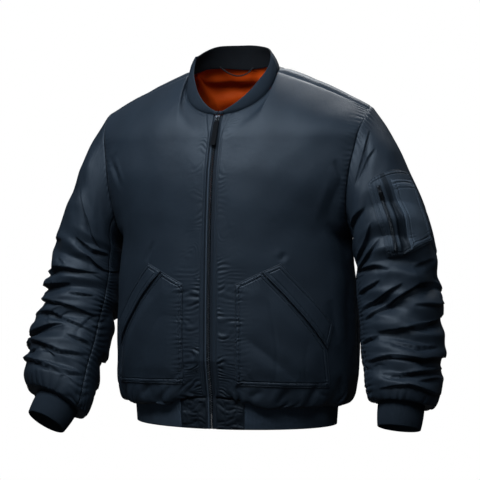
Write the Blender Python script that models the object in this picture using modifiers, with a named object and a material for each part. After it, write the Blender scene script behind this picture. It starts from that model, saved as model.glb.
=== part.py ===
"""Bomber jacket, filled out as on a wearer: each cut and sewn piece is a closed wall of cloth.

Metres, +Z up. The origin is the nape, where the collar is sewn on at the centre back.
The front faces -Y and the wearer's left is +X. The tables measure from the body's upright
axis, which stands BODY_AXIS_Y from the nape, with x outward on either side.
"""

import math

import bmesh
import bpy
import numpy as np
from mathutils import Matrix, Vector

# ---------------------------------------------------------------- driving dimensions
BODY_AXIS_Y = -0.068          # the body's upright axis, in front of the nape
SEAM_GAP = 0.0003             # clearance between two sewn pieces
HEM_GAP = 0.0006              # the same where the body meets the hem band
CLOTH_WALL = 0.0025           # shell cloth with its wadding
LINING_WALL = 0.0010
LINING_LOFT = 0.0110          # lining's face inside the shell's face, over the wadding
LINING_TOP_INSETS = (0.0095, 0.0070, 0.0028)      # the same in its last rows, up to the seam
RIB_WALL = 0.0032
PATCH_WALL = 0.0012
PATCH_ON_PATCH = PATCH_WALL + 0.0011    # what lies on a pocket, off the cloth below it

HEM_SEAM_Z = -0.6183          # where the front is sewn to the hem band, at the centre
HEM_EDGE_Z = -0.6770          # lower edge of the hem band
HEM_EDGE_WIDTH, HEM_EDGE_FRONT, HEM_EDGE_BACK = 0.1950, 0.1385, 0.1170
HEM_BLOCK_WIDTH = 0.062       # shell cloth end of the band, from the centre

ZIP_CHAIN_HALF = 0.0031
ZIP_CHAIN_FACE = 0.0006       # how far the closed teeth stand off the cloth
ZIP_TAPE_HALF = 0.0087
ZIP_EDGE = 0.0090             # the fronts start here, beside the tape

NECK_HALF_WIDTH = 0.088
NECK_SIDE_Y, NECK_SIDE_Z = -0.020, -0.017
NECK_FRONT_Y, NECK_FRONT_Z = -0.100, -0.101
NECK_BACK_Y = 0.068
SHOULDER_TIP = (0.261, -0.005, -0.090)
SHOULDER_ARCH = 0.004
NECK_SHARE = 0.27             # share of a panel's top edge that is neckline

YOKE, TOP = 0.510, 0.600      # heights along the panels, from the hem seam

# Body sections: along the cloth, height, half width, front and back depth, then how far the
# sides of the section stand off the axis in front and behind, and how far the section turns.
TORSO = (
    # along, z, half_width, front, back, side_front, side_back, turn
    (0.000, -0.6270, 0.1985, 0.1425, 0.1230, 0.000, 0.000, 90),
    (0.012, -0.6365, 0.2090, 0.1480, 0.1300, 0.000, 0.000, 90),
    (0.026, -0.6345, 0.2215, 0.1530, 0.1370, 0.000, 0.000, 90),
    (0.046, -0.6170, 0.2320, 0.1565, 0.1415, 0.000, 0.000, 90),
    (0.084, -0.5780, 0.2370, 0.1580, 0.1430, 0.000, 0.000, 90),
    (0.164, -0.4980, 0.2370, 0.1575, 0.1430, 0.000, 0.000, 90),
    (0.220, -0.4420, 0.2350, 0.1565, 0.1425, 0.002, 0.002, 89),
    (0.280, -0.3820, 0.2315, 0.1545, 0.1415, 0.012, 0.012, 84),
    (0.332, -0.3300, 0.2290, 0.1520, 0.1410, 0.028, 0.028, 77),
    (0.385, -0.2770, 0.2300, 0.1480, 0.1410, 0.050, 0.052, 69),
    (0.445, -0.2130, 0.2370, 0.1410, 0.1410, 0.067, 0.072, 60),
    (0.510, -0.1480, 0.2490, 0.1230, 0.1330, 0.060, 0.070, 52),
)
# The side seam, then the armhole edge: its depth in front of and behind the axis, and drop.
PANEL_EDGE = (
    # along, edge_front, edge_back, drop
    (0.000, 0.000, 0.000, 0.000),
    (0.332, 0.000, 0.000, 0.000),
    (0.346, 0.026, 0.026, -0.001),
    (0.365, 0.044, 0.046, -0.003),
    (0.400, 0.062, 0.067, -0.004),
    (0.445, 0.069, 0.076, -0.003),
    (0.510, 0.056, 0.066, 0.000),
)
STRAIGHT_TOP = 0.110          # below this the centre front hangs straight, with no blousing

# Direction in which each panel reaches its top edge: at the centre, beside the neck and at
# the shoulder.
ARRIVE = {"front": ((0.0, 0.50, 0.86), (-0.30, 0.70, 0.70), (0.0, 0.80, 0.60)),
          "back": ((0.0, -0.70, 0.60), (-0.70, -0.80, 0.00), (0.0, -0.94, -0.72))}

# Collar: turn 0 is the centre front, 1 the shoulder and 2 the centre back.
COLLAR = (
    # turn, rise, inward
    (0.00, 0.0030, 0.0000),
    (0.12, 0.0100, 0.0010),
    (0.25, 0.0180, 0.0040),
    (0.42, 0.0270, 0.0090),
    (0.65, 0.0345, 0.0125),
    (1.00, 0.0340, 0.0120),
    (1.30, 0.0350, 0.0095),
    (1.60, 0.0400, 0.0070),
    (2.00, 0.0440, 0.0060),
)

# Sleeves: centre of each section, how far it leans from facing sideways (0) to facing down
# (90), how far it nods forward, and its half sizes outward and forward. x is outward.
SLEEVE = {
    "left": (
        # along, x, y, z, lean, nod, out, fore
        (0.000, 0.2455, 0.000, -0.2100, 8, 0, 0.1210, 0.0710),
        (0.060, 0.2655, 0.000, -0.2395, 16, 0, 0.1090, 0.0780),
        (0.130, 0.2830, 0.000, -0.2840, 33, 0, 0.0915, 0.0830),
        (0.200, 0.3025, 0.000, -0.3350, 51, 2, 0.0800, 0.0840),
        (0.270, 0.3135, -0.003, -0.3950, 70, 5, 0.0755, 0.0820),
        (0.340, 0.3215, -0.010, -0.4600, 82, 10, 0.0765, 0.0790),
        (0.410, 0.3280, -0.027, -0.5250, 88, 14, 0.0745, 0.0750),
        (0.470, 0.3340, -0.046, -0.5790, 91, 17, 0.0710, 0.0710),
        (0.510, 0.3360, -0.059, -0.6130, 92, 17, 0.0650, 0.0640),
        (0.528, 0.3360, -0.064, -0.6290, 92, 16, 0.0560, 0.0540),
        (0.541, 0.3355, -0.066, -0.6270, 92, 16, 0.0415, 0.0425),
    ),
    "right": (
        # along, x, y, z, lean, nod, out, fore
        (0.000, 0.2440, 0.000, -0.2110, 8, 0, 0.1190, 0.0710),
        (0.060, 0.2640, 0.000, -0.2430, 15, 0, 0.1060, 0.0770),
        (0.130, 0.2790, 0.000, -0.2880, 31, 0, 0.0830, 0.0810),
        (0.200, 0.2950, 0.000, -0.3390, 48, 3, 0.0745, 0.0820),
        (0.270, 0.3070, -0.004, -0.3970, 68, 7, 0.0710, 0.0810),
        (0.340, 0.3180, -0.015, -0.4600, 80, 14, 0.0730, 0.0790),
        (0.410, 0.3265, -0.038, -0.5250, 81, 21, 0.0740, 0.0760),
        (0.470, 0.3330, -0.065, -0.5810, 77, 27, 0.0720, 0.0720),
        (0.510, 0.3330, -0.085, -0.6190, 74, 31, 0.0700, 0.0660),
        (0.528, 0.3310, -0.094, -0.6410, 71, 32, 0.0610, 0.0570),
        (0.541, 0.3280, -0.097, -0.6430, 70, 32, 0.0425, 0.0425),
    ),
}
SLEEVE_END = 0.541
ARMHOLE_FADE = 0.150          # the armhole's own outline is gone this far down the sleeve
CUFF_LENGTH = 0.044
CUFF_END_HALF = 0.0385
FRONT_SLEEVE_SEAM, BACK_SLEEVE_SEAM = 150, 285     # degrees round from the shoulder, by the front

# Creases of the sleeves: place, reach round the arm, width along it, depth, and slant.
SLEEVE_FOLDS = {
    "left": (
        # along, turn, reach, width, depth, slant
        (0.150, 60, 60, 0.016, 0.0060, -0.055),
        (0.205, 75, 60, 0.015, 0.0070, -0.050),
        (0.262, 60, 75, 0.014, 0.0080, -0.030),
        (0.306, 20, 70, 0.014, 0.0085, 0.022),
        (0.340, 95, 60, 0.014, 0.0075, -0.030),
        (0.372, 25, 80, 0.013, 0.0085, 0.014),
        (0.412, 70, 85, 0.013, 0.0090, -0.012),
        (0.448, 10, 75, 0.012, 0.0080, 0.012),
        (0.476, 85, 70, 0.011, 0.0070, -0.006),
        (0.230, 215, 60, 0.014, 0.0060, 0.030),
        (0.290, 250, 75, 0.015, 0.0075, 0.020),
        (0.350, 230, 80, 0.014, 0.0080, -0.016),
        (0.405, 270, 75, 0.013, 0.0080, 0.014),
        (0.455, 235, 85, 0.012, 0.0075, -0.010),
        (0.495, 300, 60, 0.010, 0.0050, 0.004),
    ),
    "right": (
        # along, turn, reach, width, depth, slant
        (0.120, 50, 50, 0.018, 0.0040, -0.060),
        (0.180, 110, 50, 0.016, 0.0055, -0.050),
        (0.245, 75, 80, 0.014, 0.0080, -0.012),
        (0.285, 25, 60, 0.013, 0.0080, 0.016),
        (0.318, 80, 85, 0.013, 0.0085, -0.022),
        (0.352, 10, 55, 0.012, 0.0080, 0.024),
        (0.385, 90, 80, 0.013, 0.0085, -0.014),
        (0.423, 60, 95, 0.012, 0.0095, -0.018),
        (0.462, 20, 60, 0.011, 0.0070, 0.012),
        (0.483, 100, 60, 0.010, 0.0065, -0.008),
        (0.235, 215, 60, 0.014, 0.0060, 0.026),
        (0.300, 255, 70, 0.015, 0.0075, -0.018),
        (0.355, 225, 75, 0.013, 0.0080, 0.016),
        (0.410, 275, 80, 0.013, 0.0080, -0.012),
        (0.452, 230, 80, 0.012, 0.0075, 0.010),
        (0.492, 290, 60, 0.010, 0.0050, -0.004),
    ),
}
SLEEVE_PUFF = 0.0020          # how far the cloth swells between creases

# Creases of the body panels, running up the cloth: place, reach, width, depth, slant.
BODY_FOLDS = {
    "front_left": (
        # along, around, reach, width, depth, slant
        (0.190, 0.86, 0.120, 0.022, 0.0040, 0.10),
        (0.400, 0.86, 0.060, 0.016, 0.0030, 0.60),
        (0.040, 0.74, 0.050, 0.016, 0.0040, 0.10),
        (0.040, 0.42, 0.040, 0.015, 0.0035, -0.10),
    ),
    "front_right": (
        # along, around, reach, width, depth, slant
        (0.200, 0.88, 0.110, 0.020, 0.0035, 0.05),
        (0.455, 0.84, 0.035, 0.010, 0.0035, 0.70),
        (0.040, 0.66, 0.050, 0.016, 0.0040, -0.10),
        (0.040, 0.34, 0.040, 0.015, 0.0035, 0.10),
    ),
    "back_left": (
        # along, around, reach, width, depth, slant
        (0.170, 0.72, 0.150, 0.026, 0.0050, -0.15),
        (0.120, 0.34, 0.110, 0.024, 0.0040, 0.20),
        (0.410, 0.78, 0.080, 0.022, 0.0045, 0.50),
        (0.045, 0.52, 0.050, 0.018, 0.0040, 0.00),
    ),
    "back_right": (
        # along, around, reach, width, depth, slant
        (0.160, 0.66, 0.140, 0.026, 0.0050, 0.10),
        (0.090, 0.26, 0.090, 0.022, 0.0040, -0.20),
        (0.420, 0.82, 0.080, 0.022, 0.0045, 0.40),
        (0.045, 0.86, 0.050, 0.018, 0.0040, 0.05),
    ),
}

# Pocket outlines on the front panels, (distance round from the centre, height), from the top
# inner corner round by the outer side. Welt: the flap over the slanted mouth.
QUARTER_GIRTH = 0.310
POCKET = ((0.043, -0.413), (0.089, -0.390), (0.201, -0.531), (0.210, -0.601), (0.042, -0.595))
WELT = ((0.1245, -0.375), (0.216, -0.485), (0.201, -0.531), (0.089, -0.390))

# Utility pocket on the left sleeve, (turn, along) corners of the base, of the pen patch on
# its outer half, and the two ends of the zip along its front.
SLEEVE_POCKET = ((84, 0.085), (11, 0.131), (11, 0.2455), (60, 0.254), (85, 0.243))
PEN_POCKET = ((50, 0.122), (14, 0.146), (14, 0.2425), (52, 0.249))
SLEEVE_ZIP = ((68.5, 0.112), (71.5, 0.238))
SLEEVE_ZIP_HALF = 0.0030
SLEEVE_SLIDER_LIFT = 0.0006   # of the slider's base off the pocket

# Zip slider and its pull, about the pull's pivot: x across, y down the zip, z off the cloth.
SLIDER_HALF_WIDTH, SLIDER_HALF_LENGTH = 0.0044, 0.0060
SLIDER_BOTTOM, SLIDER_TOP = 0.0000, 0.0026
CROWN_HALF_WIDTH, CROWN_HALF_LENGTH, CROWN_HEIGHT = 0.0014, 0.0042, 0.0036
EYE_RADIUS, WIRE_RADIUS = 0.0012, 0.0008
EYE_HEIGHT = SLIDER_TOP + 0.0016
REST_GAP = 0.0006             # left under a pull that lies on the cloth
LOWEST_TILT = -0.10           # tipped in further, a pull's ring would meet its slider
RING_HALF_WIDTH, RING_LENGTH = 0.0034, 0.0075
TAB_HALF_WIDTH, TAB_LENGTH, TAB_HALF_THICK = 0.0052, 0.0500, 0.0012
SLIDER_Z = -0.1095            # height of the front slider on the centre line
SLEEVE_PULL_SCALE, SLEEVE_TAB_LENGTH = 0.72, 0.0160
LOOP_CENTRE, LOOP_HALF_SPAN, LOOP_SAG, LOOP_RADIUS = -0.018, 0.032, 0.016, 0.0016
LOOP_END_HEIGHT = 0.0000      # its ends are caught this far above the collar seam
LOOP_GAP = 0.0027             # between the loop and the collar's inner curve

BODY_ROWS = (0, 0.012, 0.026, 0.046, 0.075, 0.110, 0.150, 0.190, 0.230, 0.265, 0.300, 0.332)
ARM_ROWS = (0.332, 0.352, 0.375, 0.400, 0.425, 0.450, 0.480, 0.510,
            0.528, 0.546, 0.564, 0.582, 0.600)
PANEL_ROWS = BODY_ROWS + ARM_ROWS[1:]
NECK_TURNS = {"front": (0.0, 0.2, 0.4, 0.6, 0.8, 1.0), "back": (0.0, 0.25, 0.5, 0.75, 1.0)}
SHOULDER_COLUMNS = 6
ARM_STEP = 180 / (len(ARM_ROWS) - 1)
LINING_ROWS = [3, 5, 7, 9, 11, 12, 14, 16, 18, 19, 20, 21, 22, 23]      # of the panel's rows


# ---------------------------------------------------------------- tables and blends
def smooth(value, low, high):
    """0 below low, 1 above high, and an S-shaped rise between."""
    t = np.clip((np.asarray(value, float) - low) / (high - low), 0, 1)
    return t * t * (3 - 2 * t)


def spline(rows, where):
    """Read a table at `where`, its first column, by a cubic that never overshoots its rows."""
    table = np.array(rows, float)
    along, values = table[:, 0], table[:, 1:]
    step = np.diff(along)
    rise = np.diff(values, axis=0) / step[:, None]
    product = rise[:-1] * rise[1:]
    total = rise[:-1] + rise[1:]
    mean = 2 * product / np.where(np.abs(total) < 1e-12, 1, total)
    slope = np.vstack([rise[:1], np.where(product > 0, mean, 0), rise[-1:]])
    where = np.asarray(where, float)
    row = np.clip(np.searchsorted(along, where, side="right") - 1, 0, len(step) - 1)
    width = step[row][..., None]
    t = (where - along[row])[..., None] / width
    return hermite(values[row], slope[row] * width, values[row + 1], slope[row + 1] * width, t)


def hermite(start, leave, end, arrive, t):
    """Cubic from start to end with the given leaving and arriving slopes."""
    t2, t3 = t * t, t * t * t
    return ((2 * t3 - 3 * t2 + 1) * start + (t3 - 2 * t2 + t) * leave
            + (3 * t2 - 2 * t3) * end + (t3 - t2) * arrive)


def unit(vectors):
    return vectors / np.maximum(np.linalg.norm(vectors, axis=-1, keepdims=True), 1e-12)


def place(points, side):
    """From the tables' frame, outward positive, to the object's frame."""
    points = np.array(points, float)
    points[..., 0] *= 1 if side == "left" else -1
    points[..., 1] += BODY_AXIS_Y
    return points


def crease(offset, reach_share, width, depth):
    """A trough with soft lips: offset from its line, and 0 to 1 along its reach."""
    fade = np.cos(np.clip(np.abs(reach_share), 0, 1) * math.pi / 2) ** 2
    q = np.abs(offset) / width
    return -depth * fade * (np.exp(-q ** 1.6) - 0.35 * np.exp(-(q - 1.9) ** 2 / 0.5))


# ---------------------------------------------------------------- body surface
def neckline(half, turn):
    """The collar seam: turn 0 at the panel's centre, 1 at the shoulder seam."""
    angle = np.asarray(turn, float) * math.pi / 2
    across, forward = np.sin(angle), np.clip(np.cos(angle), 0, 1)
    if half == "front":
        y = NECK_SIDE_Y + (NECK_FRONT_Y - NECK_SIDE_Y) * forward
        z = NECK_SIDE_Z + (NECK_FRONT_Z - NECK_SIDE_Z) * forward ** 0.85
    else:
        y = NECK_SIDE_Y + (NECK_BACK_Y - NECK_SIDE_Y) * forward
        z = NECK_SIDE_Z * across ** 8 + 0.003 * np.sin(2 * angle)
    return np.stack([NECK_HALF_WIDTH * across, y, z], -1)


def top_edge(half, around):
    """Neckline, then shoulder seam, of one half panel."""
    neck = neckline(half, np.clip(around / NECK_SHARE, 0, 1))
    t = np.clip((around - NECK_SHARE) / (1 - NECK_SHARE), 0, 1)[..., None]
    start = np.array([NECK_HALF_WIDTH, NECK_SIDE_Y, NECK_SIDE_Z])
    shoulder = start + (np.array(SHOULDER_TIP) - start) * t
    shoulder[..., 2] += SHOULDER_ARCH * np.sin(math.pi * t[..., 0])
    return np.where((around < NECK_SHARE)[..., None], neck, shoulder)


def body_section(half, around, along):
    """The body from the hem seam to the yoke, round from the centre line to the side."""
    z, width, front, back, side_front, side_back, turn = np.moveaxis(spline(TORSO, along), -1, 0)
    edge_front, edge_back, drop = np.moveaxis(spline(PANEL_EDGE, along), -1, 0)
    in_front = half == "front"
    depth, side, edge = (front, side_front, edge_front) if in_front else (back, side_back, edge_back)
    full = np.radians(turn)
    angle = full * around
    sideways = np.sin(angle) / np.sin(full)
    forward = (np.cos(angle) - np.cos(full)) / (1 - np.cos(full))
    near_edge = smooth(around, np.interp(along, (0.332, 0.480), (0.75, 0.35)), 1.0)
    x = width * sideways
    y = side + (depth - side) * forward + (edge - side) * near_edge
    z = z + drop * near_edge
    if not in_front:
        return np.stack([x, y, z], -1)
    points = np.stack([x, -y, z], -1)
    hang = np.clip(along / STRAIGHT_TOP, 0, 1)
    above = spline(TORSO, STRAIGHT_TOP)
    straight_y = -(TORSO[0][3] + (above[2] - TORSO[0][3]) * hang) * np.cos(angle)
    straight_z = HEM_SEAM_Z + (above[0] - HEM_SEAM_Z) * hang
    straight = np.stack([x, straight_y, straight_z], -1)
    share = (1 - smooth(around, 0.05, 0.32)) * (along < STRAIGHT_TOP)
    return points + (straight - points) * share[..., None]


def arrive_direction(half, around):
    """Direction in which a panel reaches its top edge; longer than 1 carries on further."""
    at_neck, beside_neck, at_shoulder = np.array(ARRIVE[half])
    at_neck = at_neck + (beside_neck - at_neck) * smooth(around, 0, NECK_SHARE)[..., None]
    mix = smooth(around, 0.5 * NECK_SHARE, 1.3 * NECK_SHARE)[..., None]
    return at_neck + (at_shoulder - at_neck) * mix


def plain_panel(half, around, along):
    """The panel without creases, up to its neckline and shoulder seam."""
    around, along = np.broadcast_arrays(np.asarray(around, float), np.asarray(along, float))
    points = body_section(half, around, np.minimum(along, YOKE))
    below = body_section(half, around, np.full_like(along, YOKE - 0.001))
    yoke = body_section(half, around, np.full_like(along, YOKE))
    end = top_edge(half, around)
    reach = np.linalg.norm(end - yoke, axis=-1, keepdims=True)
    arrive = arrive_direction(half, around)
    t = np.clip((along - YOKE) / (TOP - YOKE), 0, 1)[..., None]
    upper = hermite(yoke, unit(yoke - below) * reach, end, arrive * reach, t)
    return np.where((along > YOKE)[..., None], upper, points)


def surface_normal(surface, u, v, step=1e-4):
    """Unit normal of surface(u, v), by small steps to either side."""
    across = surface(u + step, v) - surface(u - step, v)
    up = surface(u, v + step) - surface(u, v - step)
    return unit(np.cross(across, up))


def panel(half, side, around, along):
    """The panel with its creases, outward positive."""
    around, along = np.broadcast_arrays(np.asarray(around, float), np.asarray(along, float))
    points = plain_panel(half, around, along)
    lift = np.zeros(around.shape)
    for row in BODY_FOLDS[half + "_" + side]:
        middle, centre, reach, width, depth, slant = row
        run = (along - middle) / reach
        offset = (around - centre) * QUARTER_GIRTH - slant * (along - middle)
        lift += crease(offset, run, width, depth)
    lift *= smooth(around, 0.06, 0.16) * (1 - smooth(around, 0.93, 1.0))
    lift *= smooth(along, 0.0, 0.02) * (1 - smooth(along, 0.50, 0.58))
    inner = np.clip(around, 0.001, 0.999)
    low = np.clip(along, 0.0005, TOP - 0.0005)
    normal = surface_normal(lambda u, v: plain_panel(half, u, v), inner, low)
    return points + normal * (lift * (1 if half == "front" else -1))[..., None]


def panel_normal(half, side, around, along):
    """Outward normal of the creased panel, in the object's frame."""
    around = np.clip(around, 0.0008, 0.9992)
    along = np.clip(along, 0.0004, TOP - 0.0004)

    def surface(u, v):
        return place(panel(half, side, u, v), side)

    flip = (1 if half == "front" else -1) * (1 if side == "left" else -1)
    return surface_normal(surface, around, along) * flip


# ---------------------------------------------------------------- sleeve surface
def armhole(side, turn):
    """The armhole seam: turn 0 at the shoulder tip, 90 in front, 180 under the arm."""
    turn = np.asarray(turn, float) % 360
    in_front = turn <= 180
    step = np.where(in_front, turn, 360 - turn) / ARM_STEP
    along = np.interp(step, np.arange(len(ARM_ROWS)), ARM_ROWS[::-1])
    ones = np.ones_like(along)
    return np.where(in_front[..., None], panel("front", side, ones, along),
                    panel("back", side, ones, along))


def sleeve_frame(side, along):
    """Centre, outward, forward and downstream directions and half sizes of a section."""
    x, y, z, lean, nod, out, fore = np.moveaxis(spline(SLEEVE[side], along), -1, 0)
    lean, nod = np.radians(lean), np.radians(nod)
    zero = np.zeros_like(lean)
    outward = np.stack([np.sin(lean), zero, np.cos(lean)], -1)
    flat = np.stack([np.cos(lean), zero, -np.sin(lean)], -1)
    front = np.stack([zero, zero - 1, zero], -1)
    cos_nod, sin_nod = np.cos(nod)[..., None], np.sin(nod)[..., None]
    forward = front * cos_nod - flat * sin_nod
    downstream = flat * cos_nod + front * sin_nod
    return np.stack([x, y, z], -1), outward, forward, downstream, out[..., None], fore[..., None]


def sleeve_section(side, along, turn):
    centre, outward, forward, _, out, fore = sleeve_frame(side, along)
    angle = np.radians(turn)[..., None]
    return centre + outward * out * np.cos(angle) + forward * fore * np.sin(angle)


def sleeve(side, along, turn):
    """Outer surface of the sleeve with its creases, outward positive."""
    along, turn = np.broadcast_arrays(np.asarray(along, float), np.asarray(turn, float))
    along = np.clip(along, 0, SLEEVE_END)
    base = sleeve_section(side, along, turn)
    start = armhole(side, turn) + np.array([0.0005, 0, 0])
    fade = 1 - smooth(along, 0, ARMHOLE_FADE)
    base = base + (start - sleeve_section(side, np.zeros_like(along), turn)) * fade[..., None]
    lift = SLEEVE_PUFF * np.ones_like(along)
    for row in SLEEVE_FOLDS[side]:
        middle, centre, reach, width, depth, slant = row
        swing = (turn - centre + 180) % 360 - 180
        offset = along - middle - slant * np.radians(swing)
        lift = lift + crease(offset, swing / reach, width, depth)
    lift = lift * smooth(along, 0.02, 0.09) * (1 - smooth(along, SLEEVE_END - 0.040, SLEEVE_END - 0.012))
    _, outward, forward, _, _, _ = sleeve_frame(side, along)
    angle = np.radians(turn)[..., None]
    return base + (outward * np.cos(angle) + forward * np.sin(angle)) * lift[..., None]


def sleeve_normal(side, along, turn):
    """Outward normal of the sleeve, in the object's frame."""
    along = np.clip(along, 0.0004, SLEEVE_END - 0.0004)

    def surface(u, v):
        return place(sleeve(side, u, v), side)

    flip = -1 if side == "left" else 1
    return surface_normal(surface, along, turn, 2e-4) * flip


# ---------------------------------------------------------------- mesh building
def clear_scene():
    for thing in list(bpy.data.objects):
        bpy.data.objects.remove(thing, do_unlink=True)


FINISH = {
    # finish: colour, roughness, metallic
    "nylon": ((0.018, 0.030, 0.048), 0.38, 0.0),
    "rib": ((0.012, 0.020, 0.032), 0.85, 0.0),
    "lining": ((0.60, 0.10, 0.012), 0.40, 0.0),
    "zip_tape": ((0.008, 0.012, 0.020), 0.80, 0.0),
    "zip_metal": ((0.020, 0.021, 0.024), 0.32, 1.0),
    "webbing": ((0.012, 0.018, 0.028), 0.75, 0.0),
}


def material(name, colour, roughness, metallic):
    made = bpy.data.materials.new(name)
    made.use_nodes = True
    shader = made.node_tree.nodes["Principled BSDF"]
    shader.inputs["Base Color"].default_value = (*colour, 1)
    shader.inputs["Roughness"].default_value = roughness
    shader.inputs["Metallic"].default_value = metallic
    return made


def add_object(name, data, finish, collection=None):
    thing = bpy.data.objects.new(name, data)
    data.materials.append(material(name + "_" + finish, *FINISH[finish]))
    (collection or JACKET).objects.link(thing)
    return thing


def add_bmesh(name, shape, finish, collection=None):
    bmesh.ops.recalc_face_normals(shape, faces=shape.faces)
    mesh = bpy.data.meshes.new(name)
    shape.to_mesh(mesh)
    shape.free()
    mesh.shade_smooth()
    mesh.set_sharp_from_angle(angle=math.radians(50))
    return add_object(name, mesh, finish, collection)


def grid_mesh(points, closed=False):
    """Triangles over a grid of points; closed joins the last column to the first."""
    rows, columns = points.shape[:2]
    shape = bmesh.new()
    corners = [[shape.verts.new(point) for point in line] for line in points]
    for row in range(rows - 1):
        for column in range(columns if closed else columns - 1):
            after = (column + 1) % columns
            a, b = corners[row][column], corners[row][after]
            c, d = corners[row + 1][after], corners[row + 1][column]
            shape.faces.new((a, b, c))
            shape.faces.new((a, c, d))
    return shape


def wall(name, finish, outer, inward, thickness, closed=False):
    """A closed wall between a grid of outer points and the same grid moved inward."""
    shape = grid_mesh(outer, closed)
    behind = grid_mesh(outer + inward * thickness, closed)
    spare = bpy.data.meshes.new("spare")
    behind.to_mesh(spare)
    behind.free()
    shape.from_mesh(spare)
    bpy.data.meshes.remove(spare)
    half = len(shape.verts) // 2
    shape.verts.index_update()
    shape.verts.ensure_lookup_table()
    for edge in [edge for edge in shape.edges if edge.is_boundary]:
        a, b = edge.verts
        if a.index < half and b.index < half:
            shape.faces.new((a, b, shape.verts[b.index + half], shape.verts[a.index + half]))
    bmesh.ops.triangulate(shape, faces=[face for face in shape.faces if len(face.verts) > 3])
    return add_bmesh(name, shape, finish)


def cut_patch(name, finish, points, outline, normals, lift, thickness):
    """A piece that lies on a panel: the panel's own faces, trimmed to an outline, moved out."""
    shape = grid_mesh(points)
    centre = sum(outline, Vector()) / len(outline)
    corners = list(zip(outline, normals))
    for (start, start_normal), (end, end_normal) in zip(corners, corners[1:] + corners[:1]):
        side = (end - start).cross(start_normal + end_normal)
        if side.dot(centre - start) > 0:
            side.negate()
        parts = shape.verts[:] + shape.edges[:] + shape.faces[:]
        bmesh.ops.bisect_plane(shape, geom=parts, plane_co=start, plane_no=side, clear_outer=True)
    bmesh.ops.remove_doubles(shape, verts=shape.verts, dist=0.0001)
    bmesh.ops.triangulate(shape, faces=shape.faces)
    if sum(face.normal.dot(normals[0]) for face in shape.faces) < 0:
        bmesh.ops.reverse_faces(shape, faces=shape.faces)
    shape.normal_update()
    moves = [vert.normal * lift for vert in shape.verts]
    for vert, move in zip(shape.verts, moves):
        vert.co += move
    mesh = bpy.data.meshes.new(name)
    shape.to_mesh(mesh)
    shape.free()
    piece = add_object(name, mesh, finish)
    thicken = piece.modifiers.new("thickness", "SOLIDIFY")
    thicken.thickness = thickness
    thicken.offset = 1
    return piece


# ---------------------------------------------------------------- front, back and lining
def mirror_join(left, right):
    """One grid across the body from two halves that share their centre column."""
    return np.concatenate([right[:, :0:-1], left], axis=1)


def shared_normals(side, around, along):
    """Normals halfway between front and back, for the seams that join them."""
    front = panel_normal("front", side, around, along)
    back = panel_normal("back", side, around, along)
    return unit(front + back)


def panel_columns(half):
    """Places round a half panel: as the collar's along the neck, then along the shoulder."""
    neck = np.array(NECK_TURNS[half]) * NECK_SHARE
    return np.concatenate([neck, np.linspace(NECK_SHARE, 1, SHOULDER_COLUMNS + 1)[1:]])


def panel_grid(half, side, columns, rows):
    """Outer points and outward normals of one half panel; rows up, columns outward."""
    around, along = np.meshgrid(columns, rows)
    points = place(panel(half, side, around, along), side)
    return around, along, points, panel_normal(half, side, around, along)


def shell_grid(half, side):
    """As panel_grid, over the whole half, with its side and shoulder edges ready to sew."""
    around, along, points, normals = panel_grid(half, side, panel_columns(half), PANEL_ROWS)
    sewn = np.arange(len(PANEL_ROWS)) < len(BODY_ROWS)
    normals[sewn, -1] = shared_normals(side, around[sewn, -1], along[sewn, -1])
    top = around[-1] >= NECK_SHARE
    normals[-1, top] = shared_normals(side, around[-1, top], along[-1, top])
    points[sewn, -1, 1] += (-1 if half == "front" else 1) * SEAM_GAP / 2
    points[-1] -= unit(arrive_direction(half, around[-1])) * SEAM_GAP / 2
    if half == "front":
        points[:, 0, 0] = ZIP_EDGE * (1 if side == "left" else -1)
    return points, normals


def make_front(side):
    points, normals = shell_grid("front", side)
    wall("front_" + side, "nylon", points, -normals, CLOTH_WALL)


def make_back():
    left, left_normals = shell_grid("back", "left")
    right, right_normals = shell_grid("back", "right")
    normals = mirror_join(left_normals, right_normals)
    wall("back", "nylon", mirror_join(left, right), -normals, CLOTH_WALL)


def lining_grid(half, side):
    """Points and normals for the lining: the shell's own, with fewer rows."""
    points, normals = shell_grid(half, side)
    first = 1 if half == "front" else 0
    return points[LINING_ROWS, first:], normals[LINING_ROWS, first:]


def lining_wall(name, points, normals):
    """A lining wall inside a shell grid: close to it at its top edge, lofted below."""
    soft = normals
    for _ in range(3):
        around = np.pad(soft, ((1, 1), (1, 1), (0, 0)), mode="edge")
        soft = unit(around[1:-1, :-2] + around[1:-1, 2:] + around[:-2, 1:-1]
                    + around[2:, 1:-1] + 2 * soft)
    soft[:, 0], soft[:, -1], soft[-1] = normals[:, 0], normals[:, -1], normals[-1]
    inset = np.full(len(LINING_ROWS), LINING_LOFT)
    inset[-len(LINING_TOP_INSETS):] = LINING_TOP_INSETS
    wall(name, "lining", points - soft * inset[:, None, None], -soft, LINING_WALL)


def make_linings():
    for side in ("left", "right"):
        lining_wall("lining_front_" + side, *lining_grid("front", side))
    halves = zip(lining_grid("back", "left"), lining_grid("back", "right"))
    lining_wall("lining_back", *(mirror_join(*pair) for pair in halves))


# ---------------------------------------------------------------- sleeves and cuffs
SLEEVE_ROWS = (tuple(np.linspace(0, 0.100, 6)) + tuple(np.linspace(0.119, 0.509, 21))
               + (0.522, 0.530, SLEEVE_END))
HALF_GAP_TURN = 0.115         # half a seam gap, in degrees round the sleeve


def armhole_normals(side, turn):
    """The body's outward normals along the armhole seam."""
    turn = turn % 360
    in_front = turn <= 180
    step = np.where(in_front, turn, 360 - turn) / ARM_STEP
    along = np.interp(step, np.arange(len(ARM_ROWS)), ARM_ROWS[::-1])
    ones = np.ones_like(along)
    normals = np.where(in_front[:, None], panel_normal("front", side, ones, along),
                       panel_normal("back", side, ones, along))
    tip = np.minimum(turn, 360 - turn) < 1
    normals[tip] = shared_normals(side, ones[tip], along[tip])
    return normals


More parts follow.
